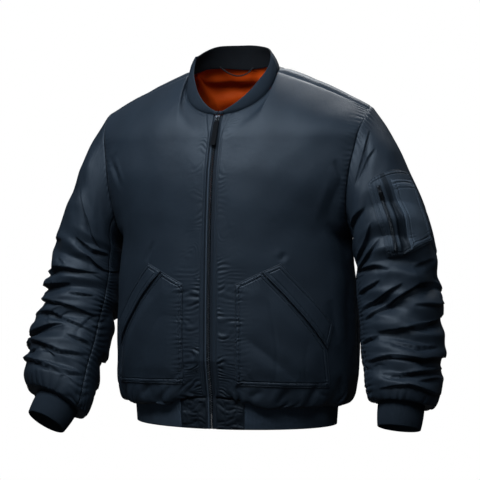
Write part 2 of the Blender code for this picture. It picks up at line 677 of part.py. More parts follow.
def sleeve_grid(side, first, last):
    """Outer points and outward normals of a sleeve piece between two turns."""
    turns = np.linspace(first, last, round((last - first) / ARM_STEP) + 1)
    turns[0] += HALF_GAP_TURN
    turns[-1] -= HALF_GAP_TURN
    turn, along = np.meshgrid(turns, SLEEVE_ROWS)
    points = place(sleeve(side, along, turn), side)
    normals = sleeve_normal(side, along, turn)
    body = armhole_normals(side, turns)
    alike = smooth(np.sum(body * normals[0], axis=-1), 0.3, 0.8)[:, None]
    normals[0] = unit(normals[0] + (body - normals[0]) * alike)
    return points, normals


def make_sleeve(side):
    points, normals = sleeve_grid(side, FRONT_SLEEVE_SEAM, BACK_SLEEVE_SEAM)
    wall("sleeve_under_" + side, "nylon", points, -normals, CLOTH_WALL)
    points, normals = sleeve_grid(side, BACK_SLEEVE_SEAM - 360, FRONT_SLEEVE_SEAM)
    wall("sleeve_top_" + side, "nylon", points, -normals, CLOTH_WALL)


def make_cuff(side):
    """A rib tube that carries on from the sleeve's turned-in end."""
    turns = np.arange(24) * 15.0
    end = np.full_like(turns, SLEEVE_END)
    centre, outward, forward, downstream, out, fore = sleeve_frame(side, end)
    angle = np.radians(turns)[:, None]
    radial = outward * np.cos(angle) + forward * np.sin(angle)
    rings = []
    for share in np.linspace(0, 1, 4):
        width = out + (CUFF_END_HALF - out) * share
        depth = fore + (CUFF_END_HALF - fore) * share
        middle = centre + downstream * (SEAM_GAP + CUFF_LENGTH * share)
        rings.append(middle + outward * width * np.cos(angle) + forward * depth * np.sin(angle))
    points = place(rings, side)
    inward = place(-radial, side) - place(np.zeros(3), side)
    wall("cuff_" + side, "rib", points, np.broadcast_to(inward, points.shape), RIB_WALL, closed=True)


# ---------------------------------------------------------------- collar and hem band
def collar_point(side, turn, share):
    """turn 0 centre front, 1 shoulder, 2 centre back; share 0 seam, 1 rim."""
    turn, share = np.broadcast_arrays(np.asarray(turn, float), np.asarray(share, float))
    seam = np.where((turn <= 1)[..., None], neckline("front", np.clip(turn, 0, 1)),
                    neckline("back", np.clip(2 - turn, 0, 1)))
    rise, inward = np.moveaxis(spline(COLLAR, turn), -1, 0)
    hub = np.array([0, 0.4 * (NECK_SIDE_Y + NECK_BACK_Y) / 2, 0])
    toward = unit((hub - seam) * np.array([1, 1, 0]))
    bow = np.sin(math.pi * share) * 0.0015
    move = toward * (inward * share ** 1.3 - bow)[..., None]
    move[..., 2] += SEAM_GAP + rise * share
    return place(seam + move, side)


def band_wall(name, finish, left, right, thickness):
    """A wall from grids whose rows run up and whose columns start at the centre front."""
    points = left if right is None else np.concatenate([left, right[:, -2::-1]], axis=1)
    across = np.gradient(points, axis=1)
    up = np.gradient(points, axis=0)
    normals = unit(np.cross(across, up))
    wall(name, finish, points, -normals, thickness)


def make_collar():
    """One band from the centre front round the neck and back to it."""
    turns = np.concatenate([NECK_TURNS["front"], 2 - np.array(NECK_TURNS["back"][-2::-1])])
    turn, height = np.meshgrid(turns, np.linspace(0, 1, 4))
    left, right = (collar_point(side, turn, height) for side in ("left", "right"))
    left[:, 0, 0], right[:, 0, 0] = ZIP_EDGE, -ZIP_EDGE
    band_wall("collar", "rib", left, right, RIB_WALL)


def band_point(side, around, share):
    """The hem band: around 0 centre front, 1 side, 2 centre back; share 0 edge, 1 seam."""
    around, share = np.broadcast_arrays(np.asarray(around, float), np.asarray(share, float))
    zero = np.zeros_like(around)
    seam = np.where((around <= 1)[..., None], body_section("front", np.clip(around, 0, 1), zero),
                    body_section("back", np.clip(2 - around, 0, 1), zero))
    angle = around * math.pi / 2
    depth = np.where(around <= 1, HEM_EDGE_FRONT, HEM_EDGE_BACK)
    edge = np.stack([HEM_EDGE_WIDTH * np.sin(angle), -depth * np.cos(angle),
                     np.full_like(angle, HEM_EDGE_Z)], -1)
    seam[..., 2] -= HEM_GAP
    return place(edge + (seam - edge) * share[..., None], side)


def band_turn(distance):
    """How far round the hem band lies a distance from the centre front."""
    return distance / (HEM_EDGE_WIDTH * math.pi / 2)


def make_hem():
    shares = np.linspace(0, 1, 4)
    front, back = panel_columns("front"), panel_columns("back")
    split = band_turn(HEM_BLOCK_WIDTH)
    rest = front[front > split + 0.01]
    start = band_turn(HEM_BLOCK_WIDTH + SEAM_GAP)
    turns = np.concatenate([[start], rest, 2 - back[-2::-1]])
    turn, height = np.meshgrid(turns, shares)
    left, right = (band_point(side, turn, height) for side in ("left", "right"))
    band_wall("hem_rib", "rib", left, right, RIB_WALL)
    turns = np.concatenate([front[front < split - 0.01], [split]])
    for side in ("left", "right"):
        order = turns if side == "left" else turns[::-1]
        turn, height = np.meshgrid(order, shares)
        points = band_point(side, turn, height)
        points[:, 0 if side == "left" else -1, 0] = ZIP_EDGE if side == "left" else -ZIP_EDGE
        band_wall("hem_block_" + side, "nylon", points, None, CLOTH_WALL)


# ---------------------------------------------------------------- pockets
def front_corner(side, across, height):
    """Point and normal of a front at a distance round from the centre and a height."""
    along = np.linspace(0.03, 0.40, 200)
    around = np.full_like(along, across / QUARTER_GIRTH)
    line = panel("front", side, around, along)
    found = np.interp(height, line[:, 2], along)
    point = place(panel("front", side, around[0], found), side)
    return Vector(point), Vector(panel_normal("front", side, around[0], found))


def front_patch(name, side, corners, lift):
    outline, normals = zip(*(front_corner(side, across, height) for across, height in corners))
    points, _ = shell_grid("front", side)
    cut_patch(name, "nylon", points, outline, normals, lift, PATCH_WALL)


def make_pockets(side):
    front_patch("pocket_" + side, side, POCKET, SEAM_GAP)
    front_patch("pocket_welt_" + side, side, WELT, PATCH_ON_PATCH)


def sleeve_corner(turn, along):
    point = place(sleeve("left", along, turn), "left")
    return Vector(point), Vector(sleeve_normal("left", np.float64(along), np.float64(turn)))


def sleeve_patch(name, finish, corners, lift, thickness):
    outline, normals = zip(*(sleeve_corner(turn, along) for turn, along in corners))
    points, _ = sleeve_grid("left", BACK_SLEEVE_SEAM - 360, FRONT_SLEEVE_SEAM)
    shoulder_column = round((360 - BACK_SLEEVE_SEAM) / ARM_STEP)
    cut_patch(name, finish, points[:18, shoulder_column:], outline, normals, lift, thickness)


def sleeve_zip_frame():
    """Pivot frame of the sleeve slider: origin at the base of the slider, on the pocket."""
    (turn, start), _ = SLEEVE_ZIP
    seat = start + SLIDER_HALF_LENGTH * SLEEVE_PULL_SCALE
    point, normal = sleeve_corner(turn, seat)
    below, _ = sleeve_corner(turn, seat + 0.02)
    down = (below - point).normalized()
    base = point + normal * (PATCH_ON_PATCH + SLEEVE_SLIDER_LIFT)
    return pivot_frame(base, down, normal)


def make_sleeve_pocket():
    sleeve_patch("sleeve_pocket", "nylon", SLEEVE_POCKET, SEAM_GAP, PATCH_WALL)
    lift = PATCH_ON_PATCH
    sleeve_patch("sleeve_pocket_pen", "nylon", PEN_POCKET, lift, PATCH_WALL)
    (top, start), (bottom, end) = SLEEVE_ZIP
    half = math.degrees(SLEEVE_ZIP_HALF / SLEEVE["left"][2][-1])
    strip = ((top + half, start), (top - half, start), (bottom - half, end), (bottom + half, end))
    sleeve_patch("sleeve_pocket_zip", "zip_tape", strip, lift, PATCH_WALL)
    frame = sleeve_zip_frame()
    make_slider("sleeve_slider", frame, SLEEVE_PULL_SCALE)
    below = []
    face = PATCH_ON_PATCH + PATCH_WALL
    for along in np.linspace(start, start + 0.026, 14):
        point, normal = sleeve_corner(top, along)
        below.append(point + normal * face)
    tilt = rest_tilt(frame, SLEEVE_PULL_SCALE, below)
    make_pull("sleeve_pull", frame, SLEEVE_PULL_SCALE, tilt, SLEEVE_TAB_LENGTH, "zip_metal")


# ---------------------------------------------------------------- zip
def centre_line():
    """Points and outward normals down the centre front, from the hem edge up."""
    band = np.array([band_point("left", 0, share) for share in (0, 0.5, 1)])
    heights = np.array(PANEL_ROWS)
    body = place(panel("front", "left", np.zeros_like(heights), heights), "left")
    points = np.concatenate([band, body[1:]])
    up = unit(np.gradient(points, axis=0))
    normals = np.cross(np.array([1.0, 0, 0]), up)
    return points, unit(normals)


def zip_strip(name, finish, inner, outer, face, thickness, top):
    """A strip beside the centre line; face is how far its front stands off the cloth."""
    points, normals = centre_line()
    heights = points[:, 2]
    cut = np.array([np.interp(top, heights, column) for column in points.T])
    cut_normal = unit(np.array([np.interp(top, heights, column) for column in normals.T]))
    keep = heights < top - 0.002
    points = np.vstack([points[keep], cut])
    normals = np.vstack([normals[keep], cut_normal])
    shift = np.array([[inner, 0, 0], [outer, 0, 0]])
    grid = points[:, None] + shift[None] + normals[:, None] * face
    wall(name, finish, grid, np.repeat(-normals[:, None], 2, axis=1), thickness)


def pivot_frame(base, down, normal):
    """Matrix whose x is across the zip, y down along it and z off the cloth."""
    across = down.cross(normal).normalized()
    down = normal.cross(across).normalized()
    frame = Matrix((across, down, normal)).transposed().to_4x4()
    frame.translation = base
    return frame


def front_zip_frame():
    points, normals = centre_line()
    point = Vector([np.interp(SLIDER_Z, points[:, 2], column) for column in points.T])
    normal = Vector([np.interp(SLIDER_Z, points[:, 2], column) for column in normals.T]).normalized()
    down = Vector((1, 0, 0)).cross(normal)
    if down.z > 0:
        down.negate()
    return pivot_frame(point - normal * 0.0003, down, normal)


def box(name, low, high, finish, frame, collection=None):
    """A block between two corners of a frame."""
    shape = bmesh.new()
    bmesh.ops.create_cube(shape, size=1)
    low, high = Vector(low), Vector(high)
    size = high - low
    bmesh.ops.scale(shape, vec=size, verts=shape.verts)
    bmesh.ops.translate(shape, vec=(low + high) / 2, verts=shape.verts)
    made = add_bmesh(name, shape, finish, collection)
    made.matrix_world = frame
    return made


def add_bevel(thing, width, segments):
    bevel = thing.modifiers.new("rounded", "BEVEL")
    bevel.width = width
    bevel.segments = segments
    bevel.limit_method = "ANGLE"


def hide_cutter(thing):
    thing.hide_render = True
    thing.display_type = "WIRE"


def join(thing, other, operation):
    boolean = thing.modifiers.new(operation.lower(), "BOOLEAN")
    boolean.operation = operation
    boolean.object = other


def make_slider(name, frame, scale):
    """Slider plate with a crown on it, which has an eye for the pull's wire."""
    wide, long = SLIDER_HALF_WIDTH * scale, SLIDER_HALF_LENGTH * scale
    bottom, top = SLIDER_BOTTOM * scale, SLIDER_TOP * scale
    plate = box(name, (-wide, -long, bottom), (wide, long, top), "zip_metal", frame)
    add_bevel(plate, 0.0008 * scale, 1)
    crown_wide, crown_long = CROWN_HALF_WIDTH * scale, CROWN_HALF_LENGTH * scale
    low = (-crown_wide, -crown_long, top - 0.0008 * scale)
    high = (crown_wide, crown_long, top + CROWN_HEIGHT * scale)
    crown = box(name + "_crown", low, high, "zip_metal", frame, CUTTERS)
    add_bevel(crown, 0.0007 * scale, 1)
    shape = bmesh.new()
    turn = Matrix.Translation((0, 0, EYE_HEIGHT * scale)) @ Matrix.Rotation(math.pi / 2, 4, "Y")
    bmesh.ops.create_cone(shape, cap_ends=True, segments=16, radius1=EYE_RADIUS * scale,
                          radius2=EYE_RADIUS * scale, depth=4 * crown_wide, matrix=turn)
    eye = add_bmesh(name + "_eye", shape, "zip_metal", CUTTERS)
    eye.matrix_world = frame
    join(plate, crown, "UNION")
    join(plate, eye, "DIFFERENCE")
    for cutter in (crown, eye):
        hide_cutter(cutter)


def rest_tilt(frame, scale, below):
    """How far a pull tips off the zip's line to lie on the cloth points below its slider."""
    pivot = frame @ Matrix.Translation((0, 0, EYE_HEIGHT * scale))
    tilts = [LOWEST_TILT]
    for point in below:
        local = pivot.inverted() @ point
        if local.y > RING_LENGTH * scale:
            tilts.append(math.atan2(local.z + TAB_HALF_THICK * scale + REST_GAP, local.y))
    return max(tilts)


def make_pull(name, frame, scale, tilt, tab_length, tab_finish):
    """Wire ring through the slider's eye and the tab that hangs from it."""
    pivot = bpy.data.objects.new(name + "_pivot", None)
    JACKET.objects.link(pivot)
    turn = Matrix.Rotation(tilt, 4, "X")
    pivot.matrix_world = frame @ Matrix.Translation((0, 0, EYE_HEIGHT * scale)) @ turn
    wide, long = RING_HALF_WIDTH * scale, RING_LENGTH * scale
    corner = 0.0014 * scale
    path = []
    for centre_x, centre_y, first in ((wide - corner, corner, -90), (wide - corner, long - corner, 0),
                                      (corner - wide, long - corner, 90), (corner - wide, corner, 180)):
        for turn in (first, first + 45, first + 90):
            path.append((centre_x + corner * math.cos(math.radians(turn)),
                         centre_y + corner * math.sin(math.radians(turn)), 0))
    curve = bpy.data.curves.new(name + "_ring", "CURVE")
    curve.dimensions = "3D"
    curve.bevel_depth = WIRE_RADIUS * scale
    curve.bevel_resolution = 2
    spline_points = curve.splines.new("POLY")
    spline_points.points.add(len(path) - 1)
    for point, place_ in zip(spline_points.points, path):
        point.co = (*place_, 1)
    spline_points.use_cyclic_u = True
    ring = add_object(name + "_ring", curve, "zip_metal")
    ring.parent = pivot
    wide, thick = TAB_HALF_WIDTH * scale, TAB_HALF_THICK * scale
    start = long + (WIRE_RADIUS + 0.0003) * scale + 0.0001
    low, high = (-wide, start, -thick), (wide, start + tab_length, thick)
    tab = box(name + "_tab", low, high, tab_finish, Matrix.Identity(4))
    add_bevel(tab, 0.0008 * scale, 1)
    tab.parent = pivot


def make_zip():
    top = SLIDER_Z - SLIDER_HALF_LENGTH * 0.9 - SEAM_GAP
    wide = ZIP_CHAIN_HALF
    zip_strip("zip_chain", "zip_tape", -wide, wide, ZIP_CHAIN_FACE, 0.0020, top)
    neck = NECK_FRONT_Z - SEAM_GAP
    inner, outer = ZIP_CHAIN_HALF + SEAM_GAP, ZIP_TAPE_HALF
    zip_strip("zip_tape_left", "zip_tape", inner, outer, -0.0008, 0.0010, neck)
    zip_strip("zip_tape_right", "zip_tape", -outer, -inner, -0.0008, 0.0010, neck)
    frame = front_zip_frame()
    make_slider("zip_slider", frame, 1)
    points, normals = centre_line()
    heights = np.linspace(SLIDER_Z, SLIDER_Z - RING_LENGTH - TAB_LENGTH, 20)
    faces = points + normals * ZIP_CHAIN_FACE
    below = [Vector([np.interp(z, points[:, 2], column) for column in faces.T]) for z in heights]
    make_pull("zip_pull", frame, 1, rest_tilt(frame, 1, below), TAB_LENGTH, "webbing")


def make_hanger_loop():
    """Cord loop sewn in at the nape, inside the collar seam."""
    rings = []
    for share in np.linspace(-1, 1, 11):
        x = LOOP_CENTRE + LOOP_HALF_SPAN * share
        turn = math.asin(abs(x) / NECK_HALF_WIDTH) / (math.pi / 2)
        seam = neckline("back", turn)
        back = RIB_WALL + LOOP_GAP + LOOP_RADIUS
        rise = LOOP_END_HEIGHT - LOOP_SAG * (1 - share ** 2)
        middle = np.array([x, seam[1] + BODY_AXIS_Y - back, seam[2] + rise])
        slope = math.atan2(2 * LOOP_SAG * share, LOOP_HALF_SPAN)
        up = np.array([-math.sin(slope), 0, math.cos(slope)])
        turns = np.radians(np.arange(6) * 60.0)[:, None]
        rings.append(middle + LOOP_RADIUS * (np.cos(turns) * up
                                             + np.sin(turns) * np.array([0, 1.0, 0])))
    shape = grid_mesh(np.array(rings), closed=True)
    ends = [edge for edge in shape.edges if edge.is_boundary]
    bmesh.ops.holes_fill(shape, edges=ends, sides=8)
    bmesh.ops.triangulate(shape, faces=[face for face in shape.faces if len(face.verts) > 3])
    add_bmesh("hanger_loop", shape, "webbing")


# ---------------------------------------------------------------- the jacket
def make_jacket():
    make_back()
    for side in ("left", "right"):
        make_front(side)
        make_pockets(side)
        make_sleeve(side)
        make_cuff(side)
    make_sleeve_pocket()
    make_collar()
    make_hem()
    make_linings()
    make_zip()
    make_hanger_loop()


clear_scene()
JACKET = bpy.data.collections.new("bomber_jacket")
CUTTERS = bpy.data.collections.new("cutters")
for group in (JACKET, CUTTERS):
    bpy.context.scene.collection.children.link(group)
make_jacket()
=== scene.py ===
# %% [markdown]
# # Bomber jacket, dressed for the camera
# The solids of the frame are plain walls of cloth. This notebook sews a finer jacket over the same
# forms: satin shell with its creases and puckered seams, ribbed knit, an orange lining, pockets
# with their topstitching, and a zip with teeth. Every piece is laid on the surface that its solid
# has, so nothing has to be fitted afterwards.

# %% Frame
import math

import bmesh
import bpy
import numpy as np
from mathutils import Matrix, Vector


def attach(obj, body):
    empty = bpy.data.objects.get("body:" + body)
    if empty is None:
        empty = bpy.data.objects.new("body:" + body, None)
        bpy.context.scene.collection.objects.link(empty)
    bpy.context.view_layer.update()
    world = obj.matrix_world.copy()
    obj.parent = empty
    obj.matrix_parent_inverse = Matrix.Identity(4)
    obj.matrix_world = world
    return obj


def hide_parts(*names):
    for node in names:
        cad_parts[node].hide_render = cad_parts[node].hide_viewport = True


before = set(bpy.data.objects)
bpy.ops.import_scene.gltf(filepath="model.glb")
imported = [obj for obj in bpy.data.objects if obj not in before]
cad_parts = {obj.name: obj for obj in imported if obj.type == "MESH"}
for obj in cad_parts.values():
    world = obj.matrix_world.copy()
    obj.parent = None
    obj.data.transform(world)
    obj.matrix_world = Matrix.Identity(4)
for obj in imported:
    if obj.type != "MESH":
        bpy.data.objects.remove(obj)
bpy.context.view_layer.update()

# %% [markdown]
# ## Reading a table
# Sections of the garment are rows of numbers with names, so a shape is changed by a number that
# means something and not by moving points. A cubic that never overshoots joins the rows: a plain
# spline would bulge between them, and straight lines would show as facets.

# %% Tables and blends
BODY_AXIS_Y = -0.068          # the body's upright axis, in front of the nape
SIGN = {"left": 1, "right": -1}         # x of the wearer's sides


def smooth(value, low, high):
    """0 below low, 1 above high, and an S-shaped rise between."""
    t = np.clip((np.asarray(value, float) - low) / (high - low), 0, 1)
    return t * t * (3 - 2 * t)


def hermite(start, leave, end, arrive, t):
    """Cubic from start to end with the given leaving and arriving slopes."""
    t2, t3 = t * t, t * t * t
    return ((2 * t3 - 3 * t2 + 1) * start + (t3 - 2 * t2 + t) * leave
            + (3 * t2 - 2 * t3) * end + (t3 - t2) * arrive)


def spline(rows, where):
    """Read a table at `where`, its first column, by a cubic that never overshoots its rows."""
    table = np.array(rows, float)
    along, values = table[:, 0], table[:, 1:]
    step = np.diff(along)
    rise = np.diff(values, axis=0) / step[:, None]
    product = rise[:-1] * rise[1:]
    total = rise[:-1] + rise[1:]
    mean = 2 * product / np.where(np.abs(total) < 1e-12, 1, total)
    slope = np.vstack([rise[:1], np.where(product > 0, mean, 0), rise[-1:]])
    where = np.asarray(where, float)
    row = np.clip(np.searchsorted(along, where, side="right") - 1, 0, len(step) - 1)
    width = step[row][..., None]
    t = (where - along[row])[..., None] / width
    return hermite(values[row], slope[row] * width, values[row + 1], slope[row + 1] * width, t)


def unit(vectors):
    return vectors / np.maximum(np.linalg.norm(vectors, axis=-1, keepdims=True), 1e-12)


def place(points, side):
    """From the tables' frame, outward positive, to the object's frame."""
    points = np.array(points, float)
    points[..., 0] *= SIGN[side]
    points[..., 1] += BODY_AXIS_Y
    return points


def surface_normal(surface, u, v, step=1e-4):
    """Unit normal of surface(u, v), by small steps to either side."""
    across = surface(u + step, v) - surface(u - step, v)
    up = surface(u, v + step) - surface(u, v - step)
    return unit(np.cross(across, up))


print("halfway up a step:", spline(((0, 0), (1, 1), (2, 1)), [0.5, 1.5])[:, 0].round(3))

# %% [markdown]
# ## The body below the yoke
# A garment is flat cloth round a body, so its surface is a function of two lengths: round the body
# and up the cloth. Each row of the table is one level section. The cloth blouses over the hem band,
# but beside the zip it hangs straight, because the tapes hold it. A scanned mesh could not be
# recut or creased by name, and this can.

# %% Body sections
HEM_SEAM_Z = -0.6183          # where the front is sewn to the hem band, at the centre
YOKE, TOP = 0.51, 0.6      # heights along the panels, from the hem seam
STRAIGHT_TOP = 0.11          # below this the centre front hangs straight, with no blousing
QUARTER_GIRTH = 0.31         # length round one half panel
# Body sections: along the cloth, height, half width, front and back depth, then how far the
# sides of the section stand off the axis in front and behind, and how far the section turns.
TORSO = (
    # along, z, half_width, front, back, side_front, side_back, turn
    (0, -.627, .1985, .1425, .123, 0, 0, 90), (.012, -.6365, .209, .148, .13, 0, 0, 90),
    (.026, -.6345, .2215, .153, .137, 0, 0, 90), (.046, -.617, .232, .1565, .1415, 0, 0, 90),
    (.084, -.578, .237, .158, .143, 0, 0, 90), (.164, -.498, .237, .1575, .143, 0, 0, 90),
    (.22, -.442, .235, .1565, .1425, .002, .002, 89),
    (.28, -.382, .2315, .1545, .1415, .012, .012, 84),
    (.332, -.33, .229, .152, .141, .028, .028, 77), (.385, -.277, .23, .148, .141, .05, .052, 69),
    (.445, -.213, .237, .141, .141, .067, .072, 60), (.51, -.148, .249, .123, .133, .06, .07, 52),
)
# The side seam, then the armhole edge: its depth in front of and behind the axis, and drop.
PANEL_EDGE = (
    # along, edge_front, edge_back, drop
    (0, 0, 0, 0), (.332, 0, 0, 0), (.346, .026, .026, -.001), (.365, .044, .046, -.003),
    (.4, .062, .067, -.004), (.445, .069, .076, -.003), (.51, .056, .066, 0),
)


def body_section(half, around, along):
    """The body from the hem seam to the yoke, round from the centre line to the side."""
    z, width, front, back, side_front, side_back, turn = np.moveaxis(spline(TORSO, along), -1, 0)
    edge_front, edge_back, drop = np.moveaxis(spline(PANEL_EDGE, along), -1, 0)
    in_front = half == "front"
    depth, side, edge = ((front, side_front, edge_front) if in_front
                         else (back, side_back, edge_back))
    full = np.radians(turn)
    angle = full * around
    sideways = np.sin(angle) / np.sin(full)
    forward = (np.cos(angle) - np.cos(full)) / (1 - np.cos(full))
    near_edge = smooth(around, np.interp(along, (0.332, 0.48), (0.75, 0.35)), 1.0)
    x = width * sideways
    y = side + (depth - side) * forward + (edge - side) * near_edge
    z = z + drop * near_edge
    if not in_front:
        return np.stack([x, y, z], -1)
    points = np.stack([x, -y, z], -1)
    hang = np.clip(along / STRAIGHT_TOP, 0, 1)
    above = spline(TORSO, STRAIGHT_TOP)
    straight_y = -(TORSO[0][3] + (above[2] - TORSO[0][3]) * hang) * np.cos(angle)
    straight_z = HEM_SEAM_Z + (above[0] - HEM_SEAM_Z) * hang
    straight = np.stack([x, straight_y, straight_z], -1)
    share = (1 - smooth(around, 0.05, 0.32)) * (along < STRAIGHT_TOP)
    return points + (straight - points) * share[..., None]


print("chest half width:", TORSO[8][2], "m, hem:", TORSO[0][2], "m")

# %% [markdown]
# ## Neckline, shoulder and the whole panel
# Above the yoke the cloth curves inward to the neckline and the shoulder seam. One cubic for each
# column leaves the yoke as the cloth below it does, and arrives in the direction that a shoulder or
# a nape gives it.

# %% Neckline and shoulder
NECK_HALF_WIDTH = 0.088
NECK_SIDE_Y, NECK_SIDE_Z = -0.02, -0.017
NECK_FRONT_Y, NECK_FRONT_Z = -0.1, -0.101
NECK_BACK_Y = 0.068
SHOULDER_TIP = (0.261, -0.005, -0.09)
SHOULDER_ARCH = 0.004
NECK_SHARE = 0.27             # share of a panel's top edge that is neckline
# Direction in which each panel reaches its top edge: at the centre, beside the neck and at
# the shoulder.
ARRIVE = {"front": ((0, .5, .86), (-.3, .7, .7), (0, .8, .6)),
          "back": ((0, -.7, .6), (-.7, -.8, 0), (0, -.94, -.72))}


def neckline(half, turn):
    """The collar seam: turn 0 at the panel's centre, 1 at the shoulder seam."""
    angle = np.asarray(turn, float) * math.pi / 2
    across, forward = np.sin(angle), np.clip(np.cos(angle), 0, 1)
    if half == "front":
        y = NECK_SIDE_Y + (NECK_FRONT_Y - NECK_SIDE_Y) * forward
        z = NECK_SIDE_Z + (NECK_FRONT_Z - NECK_SIDE_Z) * forward ** 0.85
    else:
        y = NECK_SIDE_Y + (NECK_BACK_Y - NECK_SIDE_Y) * forward
        z = NECK_SIDE_Z * across ** 8 + 0.003 * np.sin(2 * angle)
    return np.stack([NECK_HALF_WIDTH * across, y, z], -1)


def top_edge(half, around):
    """Neckline, then shoulder seam, of one half panel."""
    neck = neckline(half, np.clip(around / NECK_SHARE, 0, 1))
    t = np.clip((around - NECK_SHARE) / (1 - NECK_SHARE), 0, 1)[..., None]
    start = np.array([NECK_HALF_WIDTH, NECK_SIDE_Y, NECK_SIDE_Z])
    shoulder = start + (np.array(SHOULDER_TIP) - start) * t
    shoulder[..., 2] += SHOULDER_ARCH * np.sin(math.pi * t[..., 0])
    return np.where((around < NECK_SHARE)[..., None], neck, shoulder)


def arrive_direction(half, around):
    """Direction in which a panel reaches its top edge; longer than 1 carries on further."""
    at_neck, beside_neck, at_shoulder = np.array(ARRIVE[half])
    at_neck = at_neck + (beside_neck - at_neck) * smooth(around, 0, NECK_SHARE)[..., None]
    mix = smooth(around, 0.5 * NECK_SHARE, 1.3 * NECK_SHARE)[..., None]
    return at_neck + (at_shoulder - at_neck) * mix


def plain_panel(half, around, along):
    """The panel without creases, up to its neckline and shoulder seam."""
    around, along = np.broadcast_arrays(np.asarray(around, float), np.asarray(along, float))
    points = body_section(half, around, np.minimum(along, YOKE))
    below = body_section(half, around, np.full_like(along, YOKE - 0.001))
    yoke = body_section(half, around, np.full_like(along, YOKE))
    end = top_edge(half, around)
    reach = np.linalg.norm(end - yoke, axis=-1, keepdims=True)
    arrive = arrive_direction(half, around)
    t = np.clip((along - YOKE) / (TOP - YOKE), 0, 1)[..., None]
    upper = hermite(yoke, unit(yoke - below) * reach, end, arrive * reach, t)
    return np.where((along > YOKE)[..., None], upper, points)


print("shoulder tip", round(SHOULDER_TIP[0] - NECK_HALF_WIDTH, 3), "m out from the neck")

# %% [markdown]
# ## Main folds of the body
# The solids have these broad folds as well, so both models keep one outline. A fold is a trough
# with soft lips, written as a height above the plain panel.

# %% Body folds
# They run up the cloth: along, around, reach, width, depth and slant.
BODY_FOLDS = {
    "front_left": (
        (.19, .86, .12, .022, .004, .1), (.4, .86, .06, .016, .003, .6),
        (.04, .74, .05, .016, .004, .1), (.04, .42, .04, .015, .0035, -.1),
    ),
    "front_right": (
        (.2, .88, .11, .02, .0035, .05), (.455, .84, .035, .01, .0035, .7),
        (.04, .66, .05, .016, .004, -.1), (.04, .34, .04, .015, .0035, .1),
    ),
    "back_left": (
        (.17, .72, .15, .026, .005, -.15), (.12, .34, .11, .024, .004, .2),
        (.41, .78, .08, .022, .0045, .5), (.045, .52, .05, .018, .004, 0),
    ),
    "back_right": (
        (.16, .66, .14, .026, .005, .1), (.09, .26, .09, .022, .004, -.2),
        (.42, .82, .08, .022, .0045, .4), (.045, .86, .05, .018, .004, .05),
    ),
}


def crease(offset, reach_share, width, depth):
    """A trough with soft lips: offset from its line, and 0 to 1 along its reach."""
    fade = np.cos(np.clip(np.abs(reach_share), 0, 1) * math.pi / 2) ** 2
    q = np.abs(offset) / width
    return -depth * fade * (np.exp(-q ** 1.6) - 0.35 * np.exp(-(q - 1.9) ** 2 / 0.5))


def panel(half, side, around, along):
    """The panel with its creases, outward positive."""
    around, along = np.broadcast_arrays(np.asarray(around, float), np.asarray(along, float))
    points = plain_panel(half, around, along)
    lift = np.zeros(around.shape)
    for middle, centre, reach, width, depth, slant in BODY_FOLDS[half + "_" + side]:
        run = (along - middle) / reach
        offset = (around - centre) * QUARTER_GIRTH - slant * (along - middle)
        lift += crease(offset, run, width, depth)
    lift *= smooth(around, 0.06, 0.16) * (1 - smooth(around, 0.93, 1.0))
    lift *= smooth(along, 0.0, 0.02) * (1 - smooth(along, 0.5, 0.58))
    inner = np.clip(around, 0.001, 0.999)
    low = np.clip(along, 0.0005, TOP - 0.0005)
    normal = surface_normal(lambda u, v: plain_panel(half, u, v), inner, low)
    return points + normal * (lift * (1 if half == "front" else -1))[..., None]


def panel_normal(half, side, around, along):
    """Outward normal of the creased panel, in the object's frame."""
    around = np.clip(around, 0.0008, 0.9992)
    along = np.clip(along, 0.0004, TOP - 0.0004)

    def surface(u, v):
        return place(panel(half, side, u, v), side)

    flip = (1 if half == "front" else -1) * SIGN[side]
    return surface_normal(surface, around, along) * flip


print("body folds:", sum(len(rows) for rows in BODY_FOLDS.values()))

# %% [markdown]
# ## Sleeves
# A sleeve is a row of slanted ovals that bends down from the shoulder and forward at the elbow. Its
# first section is pulled to the armhole's own outline, so body and sleeve share one seam. A bent
# tube with evenly spaced rings would miss how an empty sleeve flattens.

# %% Sleeve sections
ARM_ROWS = (.332, .352, .375, .4, .425, .45, .48, .51, .528, .546, .564, .582, .6)
ARM_STEP = 180 / (len(ARM_ROWS) - 1)
SLEEVE_END = 0.541
ARMHOLE_FADE = 0.15          # the armhole's own outline is gone this far down the sleeve
FRONT_SLEEVE_SEAM, BACK_SLEEVE_SEAM = 150, 285     # degrees round from the shoulder, by the front
